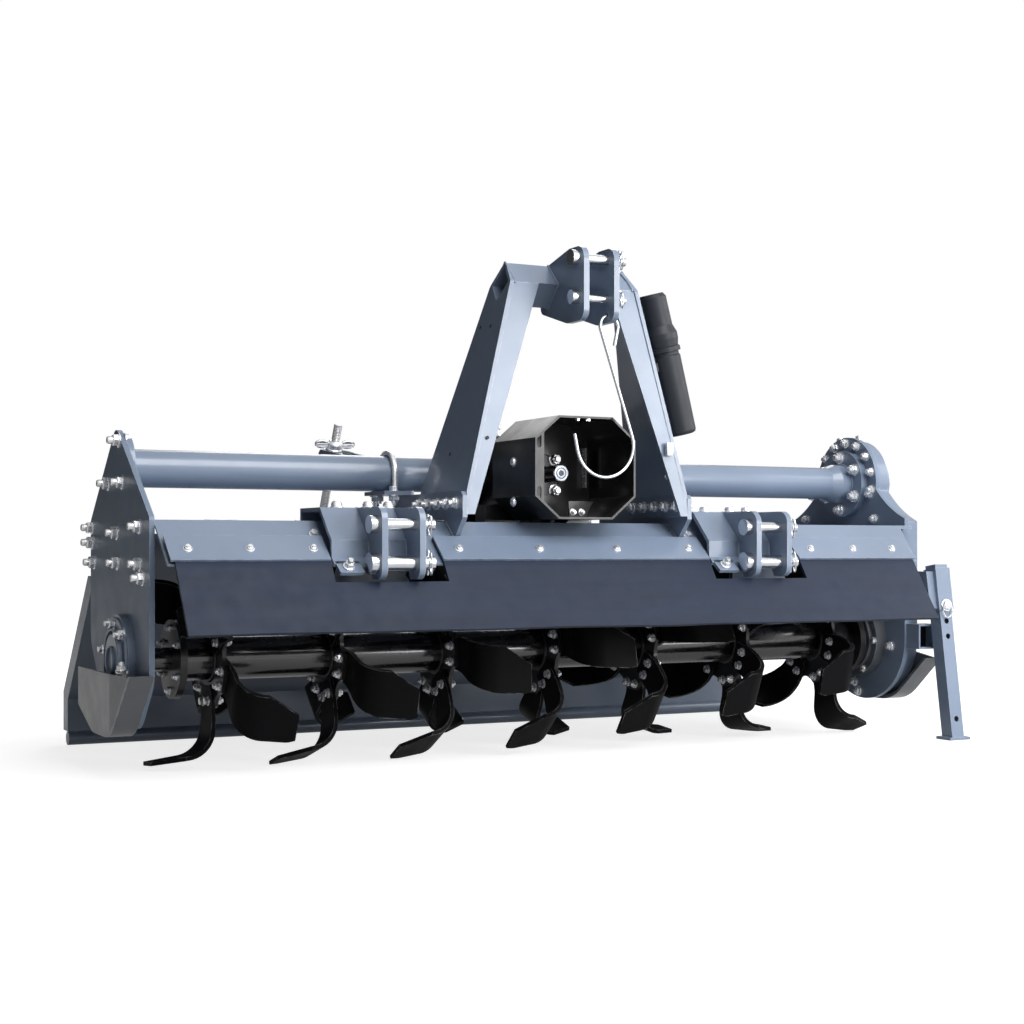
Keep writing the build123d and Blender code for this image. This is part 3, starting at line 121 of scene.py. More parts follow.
# ---------------------------------------------------------------- settings
class TillerPaint(bpy.types.PropertyGroup):
    """Colours and condition of the finishes."""

    slate: FloatVectorProperty(
        name="Slate paint", description="Colour of the frame's paint",
        subtype="COLOR", size=3, min=0, max=1, default=(0.176, 0.228, 0.318))
    grey: FloatVectorProperty(
        name="Grey paint", description="Colour of the skids",
        subtype="COLOR", size=3, min=0, max=1, default=(0.082, 0.092, 0.106))
    black: FloatVectorProperty(
        name="Black paint", description="Colour of the rotor, its tines and the shield",
        subtype="COLOR", size=3, min=0, max=1, default=(0.0040, 0.0042, 0.0048))
    rubber: FloatVectorProperty(
        name="Rubber", description="Colour of the front flap",
        subtype="COLOR", size=3, min=0, max=1, default=(0.0090, 0.0160, 0.0350))
    plastic: FloatVectorProperty(
        name="Plastic", description="Colour of the manual's canister",
        subtype="COLOR", size=3, min=0, max=1, default=(0.012, 0.015, 0.021))
    # Edge lightening: partly worn paint, partly painted highlight along the edges.
    wear_and_highlight: FloatProperty(
        name="Edge wear", description="Share of the edges that are rubbed lighter",
        subtype="FACTOR", min=0, max=1, default=0.65)
    dust: FloatProperty(
        name="Dust", description="Dust on the upward faces",
        subtype="FACTOR", min=0, max=1, default=0.10)


class TillerHardware(bpy.types.PropertyGroup):
    """Sizes of the bolts and pins."""

    frame_bolt: FloatProperty(
        name="Frame bolt", description="Diameter of the bolts through the end plates and brackets",
        subtype="DISTANCE", unit="LENGTH", min=0.004, max=0.03, default=0.0130)
    strip_bolt: FloatProperty(
        name="Strip bolt", description="Diameter of the bolts along the flap's strips",
        subtype="DISTANCE", unit="LENGTH", min=0.004, max=0.02, default=0.0085)
    tine_bolt: FloatProperty(
        name="Tine bolt", description="Diameter of the bolts that hold the tines",
        subtype="DISTANCE", unit="LENGTH", min=0.004, max=0.02, default=0.0090)
    rotor_phase: FloatProperty(
        name="Rotor phase", description="Direction of the first flange's first tine",
        subtype="ANGLE", unit="ROTATION", default=radians(-95))
    helix_step: FloatProperty(
        name="Helix step", description="Turn from one flange's tines to the next one's",
        subtype="ANGLE", unit="ROTATION", default=radians(-12.5))
    weld: FloatProperty(
        name="Weld bead", description="Radius of the weld beads",
        subtype="DISTANCE", unit="LENGTH", min=0.001, max=0.01, default=0.0035)


class TillerStage(bpy.types.PropertyGroup):
    """Floor, lights and camera."""

    floor: FloatVectorProperty(
        name="Floor", description="Colour of the floor",
        subtype="COLOR", size=3, min=0, max=1, default=(0.46, 0.46, 0.46))
    glow: FloatProperty(
        name="Floor glow", description="How much the floor near the machine shines towards the camera",
        min=0, max=1, default=0.78)
    key: FloatProperty(
        name="Key light", description="Power of the large light in front and above",
        subtype="POWER", unit="POWER", min=0, default=185)
    front: FloatProperty(
        name="Front light", description="Power of the low soft box in front of the machine",
        subtype="POWER", unit="POWER", min=0, default=48)
    fill: FloatProperty(
        name="Fill light", description="Power of the light on the gear case's side",
        subtype="POWER", unit="POWER", min=0, default=60)
    sky: FloatProperty(
        name="Sky", description="Strength of the light from all round",
        min=0, max=2, default=0.10)
    eye: FloatVectorProperty(
        name="Camera", description="Place of the camera",
        subtype="XYZ", unit="LENGTH", size=3, default=(-1.7055, -3.3151, 0.425))
    yaw: FloatProperty(
        name="Yaw", description="Turn of the level camera, from +Y towards +X",
        subtype="ANGLE", unit="ROTATION", default=radians(27))
    lens: FloatProperty(
        name="Lens", description="Focal length in millimetres on a 36 mm sensor",
        min=10, max=300, default=59.8)
    rise: FloatProperty(
        name="Rise", description="Upward shift of the picture, as a share of its width",
        min=-0.2, max=0.2, default=0.037)


# ---------------------------------------------------------------- mesh helpers
def facing(place, axis):
    """A frame at a place, with Z along an axis."""
    turn = Vector(axis).to_track_quat("Z", "Y").to_matrix().to_4x4()
    return Matrix.Translation(place) @ turn


def ring(bm, pose, radius, height, sides, start=0.0):
    return [
        bm.verts.new(pose @ Vector((radius * cos(start + tau * i / sides),
                                    radius * sin(start + tau * i / sides), height)))
        for i in range(sides)
    ]


def bridge(bm, first, second, material=0):
    """Faces between two closed loops of as many points."""
    count = len(first)
    for i in range(count):
        j = (i + 1) % count
        face = bm.faces.new((first[i], first[j], second[j], second[i]))
        face.material_index = material


def close_round(bm, loops):
    """Faces from each loop to the next, and from the last back to the first."""
    for before, after in zip(loops, loops[1:] + loops[:1]):
        bridge(bm, before, after)


def lathe(bm, pose, profile, sides=16, material=0, start=0.0):
    """A turned shape with closed ends, from (radius, height) pairs."""
    loops = [ring(bm, pose, radius, height, sides, start) for radius, height in profile]
    for before, after in zip(loops, loops[1:]):
        bridge(bm, before, after, material)
    for cap in (list(reversed(loops[0])), loops[-1]):
        bm.faces.new(cap).material_index = material


def hex_head(bm, pose, size, height, material=0, start=0.0):
    """A hexagonal head or nut with a chamfered crown. Size is the thread's diameter."""
    across = size * 0.92
    lathe(bm, pose, [
        (across, 0),
        (across, height * 0.82),
        (across * 0.86, height),
    ], 6, material, start)


def washer(bm, pose, size, height, material=0):
    lathe(bm, pose, [(size * 1.12, 0), (size * 1.12, height * 0.8), (size * 1.04, height)], 18, material)


def bolt(bm, place, axis, size, tail=0.0, turn=0.0, material=0):
    """A washer and a hexagonal head on a face. With a tail it is a nut with the bolt's end."""
    pose = facing(place, axis)
    flat = size * 0.2
    washer(bm, pose, size, flat, material)
    head = size * 0.8
    hex_head(bm, pose @ Matrix.Translation((0, 0, flat)), size, head, material, turn)
    if tail:
        lathe(bm, pose @ Matrix.Translation((0, 0, flat + head)), [
            (size * 0.56, -size * 0.1),
            (size * 0.56, tail * 0.8),
            (size * 0.46, tail),
        ], 12, material)


def domed_nut(bm, place, axis, size, material=0):
    """A tall domed nut on a washer."""
    pose = facing(place, axis)
    washer(bm, pose, size, size * 0.16, material)
    lathe(bm, pose, [
        (size * 0.88, size * 0.1),
        (size * 0.88, size * 0.62),
        (size * 0.74, size * 0.92),
        (size * 0.46, size * 1.12),
        (size * 0.10, size * 1.20),
    ], 18, material)


def round_head(bm, place, axis, size, material=0):
    """A domed head on a washer."""
    pose = facing(place, axis)
    washer(bm, pose, size, size * 0.14, material)
    lathe(bm, pose, [
        (size * 0.94, size * 0.1),
        (size * 0.92, size * 0.34),
        (size * 0.74, size * 0.58),
        (size * 0.40, size * 0.70),
        (size * 0.08, size * 0.73),
    ], 16, material)


def tube_along(bm, points, radii, sides=8, closed=False, material=0):
    """A round bar through points, with a radius at each."""
    count = len(points)
    loops = []
    side = None
    for i, point in enumerate(points):
        ahead = points[(i + 1) % count] if closed or i < count - 1 else point
        behind = points[i - 1] if closed or i > 0 else point
        run = (ahead - behind).normalized()
        if side is None:
            side = run.orthogonal().normalized()
        side = (side - run * side.dot(run)).normalized()
        other = run.cross(side)
        loops.append([
            bm.verts.new(point + (side * cos(tau * k / sides) + other * sin(tau * k / sides)) * radii[i])
            for k in range(sides)
        ])
    for before, after in zip(loops, loops[1:]):
        bridge(bm, before, after, material)
    if closed:
        bridge(bm, loops[-1], loops[0], material)
    else:
        bm.faces.new(list(reversed(loops[0]))).material_index = material
        bm.faces.new(loops[-1]).material_index = material


def block(bm, centre, size, chamfer):
    """A box with chamfered edges."""
    made = bmesh.ops.create_cube(bm, size=1.0, matrix=Matrix.Translation(centre) @ Matrix.Diagonal(size.to_4d()))
    edges = {edge for vertex in made["verts"] for edge in vertex.link_edges}
    bmesh.ops.bevel(bm, geom=list(edges), offset=chamfer, segments=2, affect="EDGES", profile=0.5)


def panel(bm, corners, out, material=0):
    """A flat plate: its corners in order round the front face, and the way to its back face."""
    front = [bm.verts.new(corner) for corner in corners]
    back = [bm.verts.new(corner + out) for corner in corners]
    bm.faces.new(front).material_index = material
    bm.faces.new(list(reversed(back))).material_index = material
    bridge(bm, front, back, material)


def weld(bm, corners, radius, closed=False):
    """A rippled bead along straight runs between corners."""
    points = []
    pairs = list(zip(corners, corners[1:] + corners[:1])) if closed else list(zip(corners, corners[1:]))
    for start, end in pairs:
        steps = max(2, int((end - start).length / (radius * 0.8)))
        points += [start.lerp(end, i / steps) for i in range(steps)]
    if not closed:
        points.append(corners[-1])
    radii = [radius * (0.82 + 0.20 * noise.noise(p * 400) + 0.16 * (i % 2)) for i, p in enumerate(points)]
    tube_along(bm, points, radii, 6, closed)


def circle_x(centre, radius, count=48):
    return [around_x(centre, radius, 360 * i / count) for i in range(count)]


def piece(name, bm, materials, body, sharp=32):
    """Makes an object of a mesh, shades it and lets it ride on a body of the machine."""
    bmesh.ops.recalc_face_normals(bm, faces=bm.faces)
    mesh = bpy.data.meshes.new(name)
    bm.to_mesh(mesh)
    bm.free()
    for polygon in mesh.polygons:
        polygon.use_smooth = True
    mesh.set_sharp_from_angle(angle=radians(sharp))
    made = bpy.data.objects.new(name, mesh)
    bpy.context.scene.collection.objects.link(made)
    for material in materials:
        mesh.materials.append(material)
    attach(made, body)
    return made


# ---------------------------------------------------------------- material helpers
class Shader:
    """A material's node tree with a short way to add and join nodes."""

    def __init__(self, name):
        self.material = bpy.data.materials.new(name)
        self.material.use_nodes = True
        self.tree = self.material.node_tree
        self.surface = self.tree.nodes["Principled BSDF"]
        self.position = self.add("ShaderNodeTexCoord").outputs["Object"]

    def add(self, kind, inputs=None, **settings):
        node = self.tree.nodes.new(kind)
        for key, value in settings.items():
            setattr(node, key, value)
        for key, value in (inputs or {}).items():
            if isinstance(value, bpy.types.NodeSocket):
                self.tree.links.new(value, node.inputs[key])
            else:
                node.inputs[key].default_value = value
        return node

    def noise(self, scale, detail=3.0, rough=0.55, vector=None, stretch=None):
        source = vector or self.position
        if stretch:
            source = self.add("ShaderNodeMapping", {"Vector": source, "Scale": stretch}).outputs[0]
        node = self.add("ShaderNodeTexNoise", {
            "Vector": source, "Scale": scale, "Detail": detail, "Roughness": rough})
        return node.outputs["Fac"]

    def ramp(self, value, low_in, high_in, low_out=0.0, high_out=1.0):
        return self.add("ShaderNodeMapRange", {
            "Value": value, "From Min": low_in, "From Max": high_in,
            "To Min": low_out, "To Max": high_out}).outputs["Result"]

    def maths(self, operation, first, second=0.0):
        return self.add("ShaderNodeMath", {0: first, 1: second}, operation=operation).outputs[0]

    def mix(self, share, first, second):
        return self.add("ShaderNodeMix", {"Factor": share, "A": first, "B": second},
                        data_type="RGBA").outputs["Result"]

    def edges(self, radius):
        """1 on edges within the radius, 0 on flat faces."""
        rounded = self.add("ShaderNodeBevel", {"Radius": radius}, samples=4).outputs[0]
        flat = self.add("ShaderNodeNewGeometry").outputs["Normal"]
        together = self.add("ShaderNodeVectorMath", {0: rounded, 1: flat},
                            operation="DOT_PRODUCT").outputs["Value"]
        return self.ramp(together, 0.995, 0.90)

    def upward(self):
        """1 where the surface faces up."""
        normal = self.add("ShaderNodeNewGeometry").outputs["Normal"]
        height = self.add("ShaderNodeSeparateXYZ", {"Vector": normal}).outputs["Z"]
        return self.ramp(height, 0.35, 0.95)

    def bump(self, height, strength, distance):
        node = self.add("ShaderNodeBump", {
            "Height": height, "Strength": strength, "Distance": distance})
        self.tree.links.new(node.outputs[0], self.surface.inputs["Normal"])

    def join(self, value, socket):
        self.tree.links.new(value, self.surface.inputs[socket])


def colour4(colour, gain=1.0):
    return tuple(min(1.0, channel * gain) for channel in colour) + (1.0,)


def paint(name, colour, gloss, paint_settings, wear_and_highlight_colour, coat=0.5, sheen=0.5, peel=0.05):
    """Sprayed enamel: soft mottling, orange peel, lighter edges that are partly worn paint and partly painted
    highlight, and a little dust on top.
    """
    s = Shader(name)
    mottle = s.mix(s.ramp(s.noise(3.0, 4), 0.3, 0.7), colour4(colour, 0.90), colour4(colour, 1.10))
    specks = s.ramp(s.noise(260, 2), 0.66, 0.74)
    base = s.mix(s.maths("MULTIPLY", specks, 0.25), mottle, colour4(colour, 1.5))
    # Lighter edges: partly worn paint, partly painted highlight along the edges.
    rubbed_and_highlit = s.maths("MULTIPLY", s.edges(0.0022), s.ramp(s.noise(45, 4), 0.42, 0.60))
    rubbed_and_highlit = s.maths("MULTIPLY", rubbed_and_highlit, paint_settings.wear_and_highlight)
    base = s.mix(rubbed_and_highlit, base, wear_and_highlight_colour)
    settled = s.maths("MULTIPLY", s.upward(), s.ramp(s.noise(14, 5), 0.35, 0.75))
    settled = s.maths("MULTIPLY", settled, paint_settings.dust)
    base = s.mix(settled, base, (0.42, 0.41, 0.39, 1))
    s.join(base, "Base Color")
    s.join(s.ramp(s.noise(22, 5), 0.3, 0.7, gloss - 0.05, gloss + 0.09), "Roughness")
    s.bump(s.noise(420, 2), peel, 0.0006)
    s.surface.inputs["Specular IOR Level"].default_value = sheen
    s.surface.inputs["Coat Weight"].default_value = coat
    s.surface.inputs["Coat Roughness"].default_value = 0.12
    return s.material


def zinc(name, tint=(0.88, 0.89, 0.91), gloss=0.24):
    """Bright plated steel with faint clouding and fine drawing lines."""
    s = Shader(name)
    cloud = s.ramp(s.noise(60, 4), 0.3, 0.7)
    s.join(s.mix(cloud, colour4(tint, 0.92), colour4(tint, 1.03)), "Base Color")
    s.join(s.ramp(s.noise(130, 3), 0.3, 0.7, gloss - 0.05, gloss + 0.07), "Roughness")
    s.surface.inputs["Metallic"].default_value = 0.7
    s.bump(s.noise(900, 2), 0.012, 0.0003)
    return s.material


def chrome(name, tint=(0.62, 0.64, 0.67), gloss=0.17):
    """Polished steel: smooth, with only faint clouding."""
    s = Shader(name)
    cloud = s.ramp(s.noise(40, 3), 0.3, 0.7)
    s.join(s.mix(cloud, colour4(tint, 0.90), colour4(tint, 1.04)), "Base Color")
    s.join(s.ramp(s.noise(60, 3), 0.3, 0.7, gloss - 0.03, gloss + 0.04), "Roughness")
    s.surface.inputs["Metallic"].default_value = 1.0
    return s.material


def threaded(name, axis, pitch):
    """Plated rod with a thread cut along an axis."""
    s = Shader(name)
    along = s.add("ShaderNodeVectorMath", {0: s.position, 1: axis}, operation="DOT_PRODUCT")
    wave = s.maths("SINE", s.maths("MULTIPLY", along.outputs["Value"], tau / pitch))
    groove = s.ramp(wave, -1.0, 1.0)
    # The thread's roots are painted dark and its crests light: painted shade in the grooves.
    s.join(s.mix(groove, (0.30, 0.30, 0.31, 1), (0.74, 0.75, 0.77, 1)), "Base Color")
    s.join(s.ramp(s.noise(90, 3), 0.3, 0.7, 0.24, 0.40), "Roughness")
    s.surface.inputs["Metallic"].default_value = 1.0
    s.bump(groove, 0.8, 0.0012)
    return s.material


def rubber(name, colour):
    """Ply rubber sheet: streaks along X, a fine grain and a dusty bloom."""
    s = Shader(name)
    streaks = s.ramp(s.noise(9, 4, stretch=(0.5, 4, 4)), 0.30, 0.70)
    bloom = s.mix(streaks, colour4(colour, 0.86), colour4(colour, 1.22))
    scuffs = s.ramp(s.noise(55, 6, 0.7, stretch=(0.35, 1, 1)), 0.66, 0.80)
    s.join(s.mix(s.maths("MULTIPLY", scuffs, 0.18), bloom, colour4(colour, 2.6)), "Base Color")
    s.join(s.ramp(s.noise(30, 4), 0.3, 0.7, 0.46, 0.60), "Roughness")
    s.surface.inputs["Specular IOR Level"].default_value = 0.25
    s.bump(s.maths("ADD", s.noise(700, 2), s.maths("MULTIPLY", s.noise(24, 3), 0.8)), 0.12, 0.0010)
    return s.material


def plastic(name, colour):
    """Moulded plastic with a fine spark-eroded grain."""
    s = Shader(name)
    s.join(s.mix(s.noise(7, 3), colour4(colour, 0.85), colour4(colour, 1.25)), "Base Color")
    s.join(s.ramp(s.noise(80, 3), 0.3, 0.7, 0.40, 0.52), "Roughness")
    s.surface.inputs["Specular IOR Level"].default_value = 0.32
    s.bump(s.noise(1300, 2), 0.16, 0.0004)
    return s.material


def bare_steel(name):
    """Dark oiled steel with turning marks."""
    s = Shader(name)
    s.join(s.mix(s.noise(70, 4), (0.10, 0.10, 0.11, 1), (0.26, 0.26, 0.27, 1)), "Base Color")
    s.join(s.ramp(s.noise(110, 3), 0.3, 0.7, 0.28, 0.46), "Roughness")
    s.surface.inputs["Metallic"].default_value = 1.0
    s.bump(s.noise(500, 2, stretch=(1, 8, 1)), 0.10, 0.0004)
    return s.material


def finish(slot):
    return bpy.data.materials["finish_" + slot]


# ---------------------------------------------------------------- finishes
class TILLER_OT_finishes(bpy.types.Operator):
    """Make the finishes and give them to the machine's own plates, tubes and pins"""

    bl_idname = "tiller.finishes"
    bl_label = "Finishes"

    def execute(self, context):
        settings = context.scene.tiller_paint
        # Colour of the lighter edges: partly worn paint, partly painted highlight.
        rubbed_and_highlit = (0.50, 0.52, 0.56, 1)
        makers = {
            "paint_slate": lambda n: paint(n, settings.slate, 0.34, settings, rubbed_and_highlit),
            "paint_grey": lambda n: paint(n, settings.grey, 0.42, settings, rubbed_and_highlit),
            "paint_black": lambda n: paint(n, settings.black, 0.36, settings, (0.13, 0.13, 0.14, 1), 0.22, 0.4),
            "rubber_sheet": lambda n: rubber(n, settings.rubber),
            "zinc": zinc,
            "shaft_steel": bare_steel,
            "black_plastic": lambda n: plastic(n, settings.plastic),
        }
        for slot, maker in makers.items():
            maker("finish_" + slot)
        for entry in frame["record"]["subparts"]:
            self.dress(entry["node"], finish(entry["material_slot"]))
        dark = (0.20, 0.20, 0.21, 1)
        for nodes, material in (
            (("rotor_shaft",), paint("finish_rotor_tube", settings.black, 0.22, settings, dark, 1.0, 0.5, 0.0)),
            # The tines' light grey edge colour paints thin bright edges on the black: painted highlight.
            ([n for n in frame["nodes"] if n.startswith("tines")],
             paint("finish_tine_black", settings.black, 0.48, settings, (0.42, 0.43, 0.44, 1), 0.0, 0.06)),
            # A duller copy of the slate paint, with little coat and specular, so the end plates read darker:
            # painted shade.
            (("end_plate_left", "case_plate_right"),
             paint("finish_end_plates", settings.slate, 0.38, settings, rubbed_and_highlit, 0.10, 0.34)),
            (("lower_pins_left", "lower_pins_right", "top_pins", "driveline_hook"), chrome("finish_pins")),
            (("pto_shaft",), chrome("finish_oiled_steel", (0.040, 0.044, 0.052), 0.30)),
        ):
            for node in nodes:
                self.dress(node, material)
        for side in ("left", "right"):
            self.dress("depth_rod_" + side, threaded("finish_thread_" + side, self.rod_axis(side), 3.5 * MM))
        return {"FINISHED"}

    @staticmethod
    def dress(node, material):
        mesh = frame["nodes"][node].data
        mesh.materials.clear()
        mesh.materials.append(material)

    @staticmethod
    def rod_axis(side):
        for joint in frame["joints"]:
            if joint["name"] == f"rod_{side}_slide":
                return joint["axis"]
        raise RuntimeError("the depth rod has no joint")


# ---------------------------------------------------------------- rubber flap
class TILLER_OT_flap(bpy.types.Operator):
    """Hang the rubber flap: one sheet with a waved lower edge, cut away round the clevises"""

    bl_idname = "tiller.flap"
    bl_label = "Rubber flap"

    def execute(self, context):
        lowest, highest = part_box("rubber_flap")
        thick = 7 * MM
        lip = LIP
        foot = Vector((0, lowest.y + thick, lowest.z))
        top = on_slope(0, (LIP - Vector((0, DECK_FRONT_Y, DECK_Z))).length * 0.45, 0)
        windows = []
        for node in BRACKETS:
            windows.append((low(node).x - 4 * MM, high(node).x + NOTCH_SIDE))
        window_z = LIP.z - 37 * MM
        xs = self.stops(lowest.x, highest.x, windows)
        rows = [top.lerp(lip, i / 4) for i in range(4)]
        share = (window_z - foot.z) / (lip.z - foot.z)
        rows += [lip.lerp(foot, (1 - share) * i / 3) for i in range(3)]
        rows += [lip.lerp(foot, 1 - share * (1 - i / 14)) for i in range(15)]
        bm = bmesh.new()
        front, back = self.sheet(bm, xs, rows, thick, foot, lip)
        self.close(bm, xs, rows, windows, window_z, front, back)
        bmesh.ops.delete(bm, geom=[v for v in bm.verts if not v.link_faces], context="VERTS")
        flap = piece("rubber_flap_sheet", bm, [finish("rubber_sheet")], "frame", 50)
        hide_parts("rubber_flap")
        return {"FINISHED"}

    @staticmethod
    def stops(start, end, windows):
        """Places along X for the sheet's columns, with one on each side of each window."""
        edges = [start] + [x for window in windows for x in window] + [end]
        places = []
        for left, right in zip(edges, edges[1:]):
            count = max(2, round((right - left) / (16 * MM)))
            places += [left + (right - left) * i / count for i in range(count)]
        return places + [end]

    @staticmethod
    def sheet(bm, xs, rows, thick, foot, lip):
        """Vertices of the front and back faces. The free part waves and bows a little."""
        front, back = [], []
        fall = (foot - lip).normalized()
        out_free = Vector((0, fall.z, -fall.y))
        for row in rows:
            hang = max(0.0, min(1.0, (lip.z - row.z) / (lip.z - foot.z)))
            out = SLOPE_OUT.lerp(out_free, min(1.0, hang * 8)).normalized()
            ahead, behind = [], []
            for x in xs:
                wave = noise.noise(Vector((x * 3.1, 0.0, 2.7))) + 0.4 * noise.noise(Vector((x * 9.0, 5.0, 0.3)))
                ripple = hang * hang * wave * 3.2 * MM
                lift = Vector((0, 0, hang * hang * 2.2 * MM * noise.noise(Vector((x * 5.0, 9.0, 1.0)))))
                base = Vector((x, row.y, row.z)) + out * (ripple + thick * 0.04) + lift
                behind.append(bm.verts.new(base))
                ahead.append(bm.verts.new(base + out * thick * 0.94))
            front.append(ahead)
            back.append(behind)
        return front, back

    @staticmethod
    def close(bm, xs, rows, windows, window_z, front, back):
        """Faces of both sides and all edges, leaving the windows open."""
        def solid(i, j):
            if not (0 <= i < len(rows) - 1 and 0 <= j < len(xs) - 1):
                return False
            x = (xs[j] + xs[j + 1]) / 2
            z = (rows[i].z + rows[i + 1].z) / 2
            return z < window_z or not any(a < x < b for a, b in windows)

        for i in range(len(rows) - 1):
            for j in range(len(xs) - 1):
                if not solid(i, j):
                    continue
                corners = [(i, j), (i, j + 1), (i + 1, j + 1), (i + 1, j)]
                bm.faces.new([front[a][b] for a, b in corners])
                bm.faces.new([back[a][b] for a, b in reversed(corners)])
                neighbours = [(i - 1, j), (i, j + 1), (i + 1, j), (i, j - 1)]
                for k, near in enumerate(neighbours):
                    if not solid(*near):
                        (a, b), (c, d) = corners[k], corners[(k + 1) % 4]
                        bm.faces.new((front[a][b], back[a][b], back[c][d], front[c][d]))


# ---------------------------------------------------------------- bolts of the frame
class TILLER_OT_plate_bolts(bpy.types.Operator):
    """Bolt the left end plate to the hood, and its bearing to the plate"""

    bl_idname = "tiller.plate_bolts"
    bl_label = "Left plate bolts"

    # rearward of the rotor's axis and above the floor, in mm
    places = (
        (37, 635), (119, 555), (11, 554), (253, 470), (51, 458), (-116, 468),
        (253, 440), (234, 400), (46, 400), (-119, 399), (-140, 373),
    )

    # rims of the bearing's housing: outer radius, width and height, in mm
    rims = ((82, 5, 4), (61, 4, 11), (28, 3, 15))

    def execute(self, context):
        size = context.scene.tiller_hardware.frame_bolt
        outer = low("end_plate_left").x
        inner = high("end_plate_left").x
        bm = bmesh.new()
        for i, (rear, up) in enumerate(self.places):
            place = Vector((outer, ROTOR.y + rear * MM, up * MM))
            bolt(bm, place, (-1, 0, 0), size, size * 0.8, i * 0.4)
            if up > 600:
                bolt(bm, Vector((inner, place.y, place.z)), (1, 0, 0), size, 0, i * 0.7)
        flange = low("hub_left").x + 10 * MM
        for i in range(6):
            place = around_x(ROTOR, 73 * MM, 15 + 60 * i)
            bolt(bm, Vector((flange, place.y, place.z)), (-1, 0, 0), size * 0.85, size * 0.6, i * 0.5)
        self.toe(bm, size)
        piece("plate_bolts_left", bm, [finish("zinc")], "frame")
        self.hub_rings()
        return {"FINISHED"}

    @staticmethod
    def toe(bm, size):
        """The bolt behind the toe of the left runner."""
        toe = Vector((middle("skid_left").x, ROTOR.y - 75 * MM, 0.201))
        bolt(bm, toe, (0, 0, 1), size * 0.8, size * 0.5)


    @staticmethod
    def hub_rings():
        """Raised rims turned on the left bearing's housing."""
        face = low("hub_left").x + 10 * MM
        bm = bmesh.new()
        for radius, wide, proud in TILLER_OT_plate_bolts.rims:
            rim = []
            for at_radius, rise in ((radius - wide, -1), (radius - wide, proud - 1), (radius - wide + 1, proud),
                                    (radius - 1, proud), (radius, proud - 1), (radius, -1)):
                place = Vector((face - rise * MM, ROTOR.y, ROTOR.z))
                rim.append(ring(bm, facing(place, (-1, 0, 0)), at_radius * MM, 0, 64))
            close_round(bm, rim)
        piece("hub_rings", bm, [finish("paint_slate")], "frame")


class TILLER_OT_case_bolts(bpy.types.Operator):
    """Bolt the gear case, the tube's disc and the right bearing together"""

    bl_idname = "tiller.case_bolts"
    bl_label = "Gear case bolts"

    # rearward of the rotor's axis and above the floor, in mm
    plate_places = (
        (-28, 557), (-44, 498), (216, 500), (194, 557), (214, 423), (26, 424), (-143, 422),
        (-32, 226), (-103, 203), (-18, 160), (28, 113), (86, 97), (13, 91),
    )

    def execute(self, context):
        size = context.scene.tiller_hardware.frame_bolt
        inner = low("case_plate_right").x
        outer = high("gear_case_cover").x
        cover = high("case_plate_right").x + 32 * MM
        bm = bmesh.new()
        for i in range(9):
            place = around_x(TUBE, 97 * MM, -10 + 25 * i)
            bolt(bm, Vector((inner, place.y, place.z)), (-1, 0, 0), size * 0.8, size * 0.35, i * 0.3)
            bolt(bm, Vector((cover, place.y, place.z)) + self.inward(place, TUBE, 12), (1, 0, 0), size * 0.7)
        for i, (rear, up) in enumerate(self.plate_places):
            place = at(0, rear, up)
            bolt(bm, Vector((inner, place.y, place.z)), (-1, 0, 0), size * 0.8, size * 0.35, i * 0.4)
        face = inner - 17 * MM
        for i in range(6):
            place = around_x(TUBE, 62 * MM, 30 + 60 * i)
            bolt(bm, Vector((face, place.y, place.z)), (-1, 0, 0), size, size * 0.5, i * 0.5)
            round_head(bm, Vector((outer, place.y, place.z)), (1, 0, 0), size * 0.7)
        foot = Vector((inner, ROTOR.y - 5 * MM, low("case_plate_right").z + 146 * MM))
        for i, turn in enumerate(range(190, 360, 21)):
            place = around_x(foot, 133 * MM, turn)
            bolt(bm, Vector((cover, place.y, place.z)) + self.inward(place, foot, 12), (1, 0, 0), size * 0.7)
        self.socket()
        self.breather()
        drum = low("hub_right").x + 8 * MM
        for i in range(6):
            place = around_x(ROTOR, 77 * MM, 60 * i)
            bolt(bm, Vector((drum, place.y, place.z)), (-1, 0, 0), size * 0.6, 0, i * 0.5)
        piece("case_bolts", bm, [finish("zinc")], "frame")
        return {"FINISHED"}

    @staticmethod
    def breather():
        """The plug and vent on top of the gear case."""
        lowest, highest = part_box("gear_case_cover")
        bm = bmesh.new()
        place = Vector(((lowest.x + highest.x) / 2, TUBE.y + 4 * MM, highest.z - 3 * MM))
        hex_head(bm, facing(place, (0, 0, 1)), 9 * MM, 7 * MM, 0, 0.3)
        lathe(bm, facing(place + Vector((0, 0, 6 * MM)), (0, 0, 1)), [
            (4 * MM, 0), (4 * MM, 4 * MM), (8 * MM, 4.5 * MM), (8 * MM, 11 * MM), (6 * MM, 13.5 * MM)], 20)
        piece("breather", bm, [finish("zinc")], "frame")

    @staticmethod
    def socket():
        """The plate that closes the rear of the stand's stowing socket."""
        lowest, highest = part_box("stand_receiver")
        bm = bmesh.new()
        block(bm, Vector(((lowest.x + highest.x) / 2, highest.y - 4 * MM, (lowest.z + highest.z) / 2)),
              Vector((50, 4, 50)) * MM, 0.5 * MM)
        piece("socket_back", bm, [finish("paint_black")], "frame")

    @staticmethod
    def inward(place, centre, distance):
        return (Vector((0, centre.y, centre.z)) - Vector((0, place.y, place.z))).normalized() * distance * MM


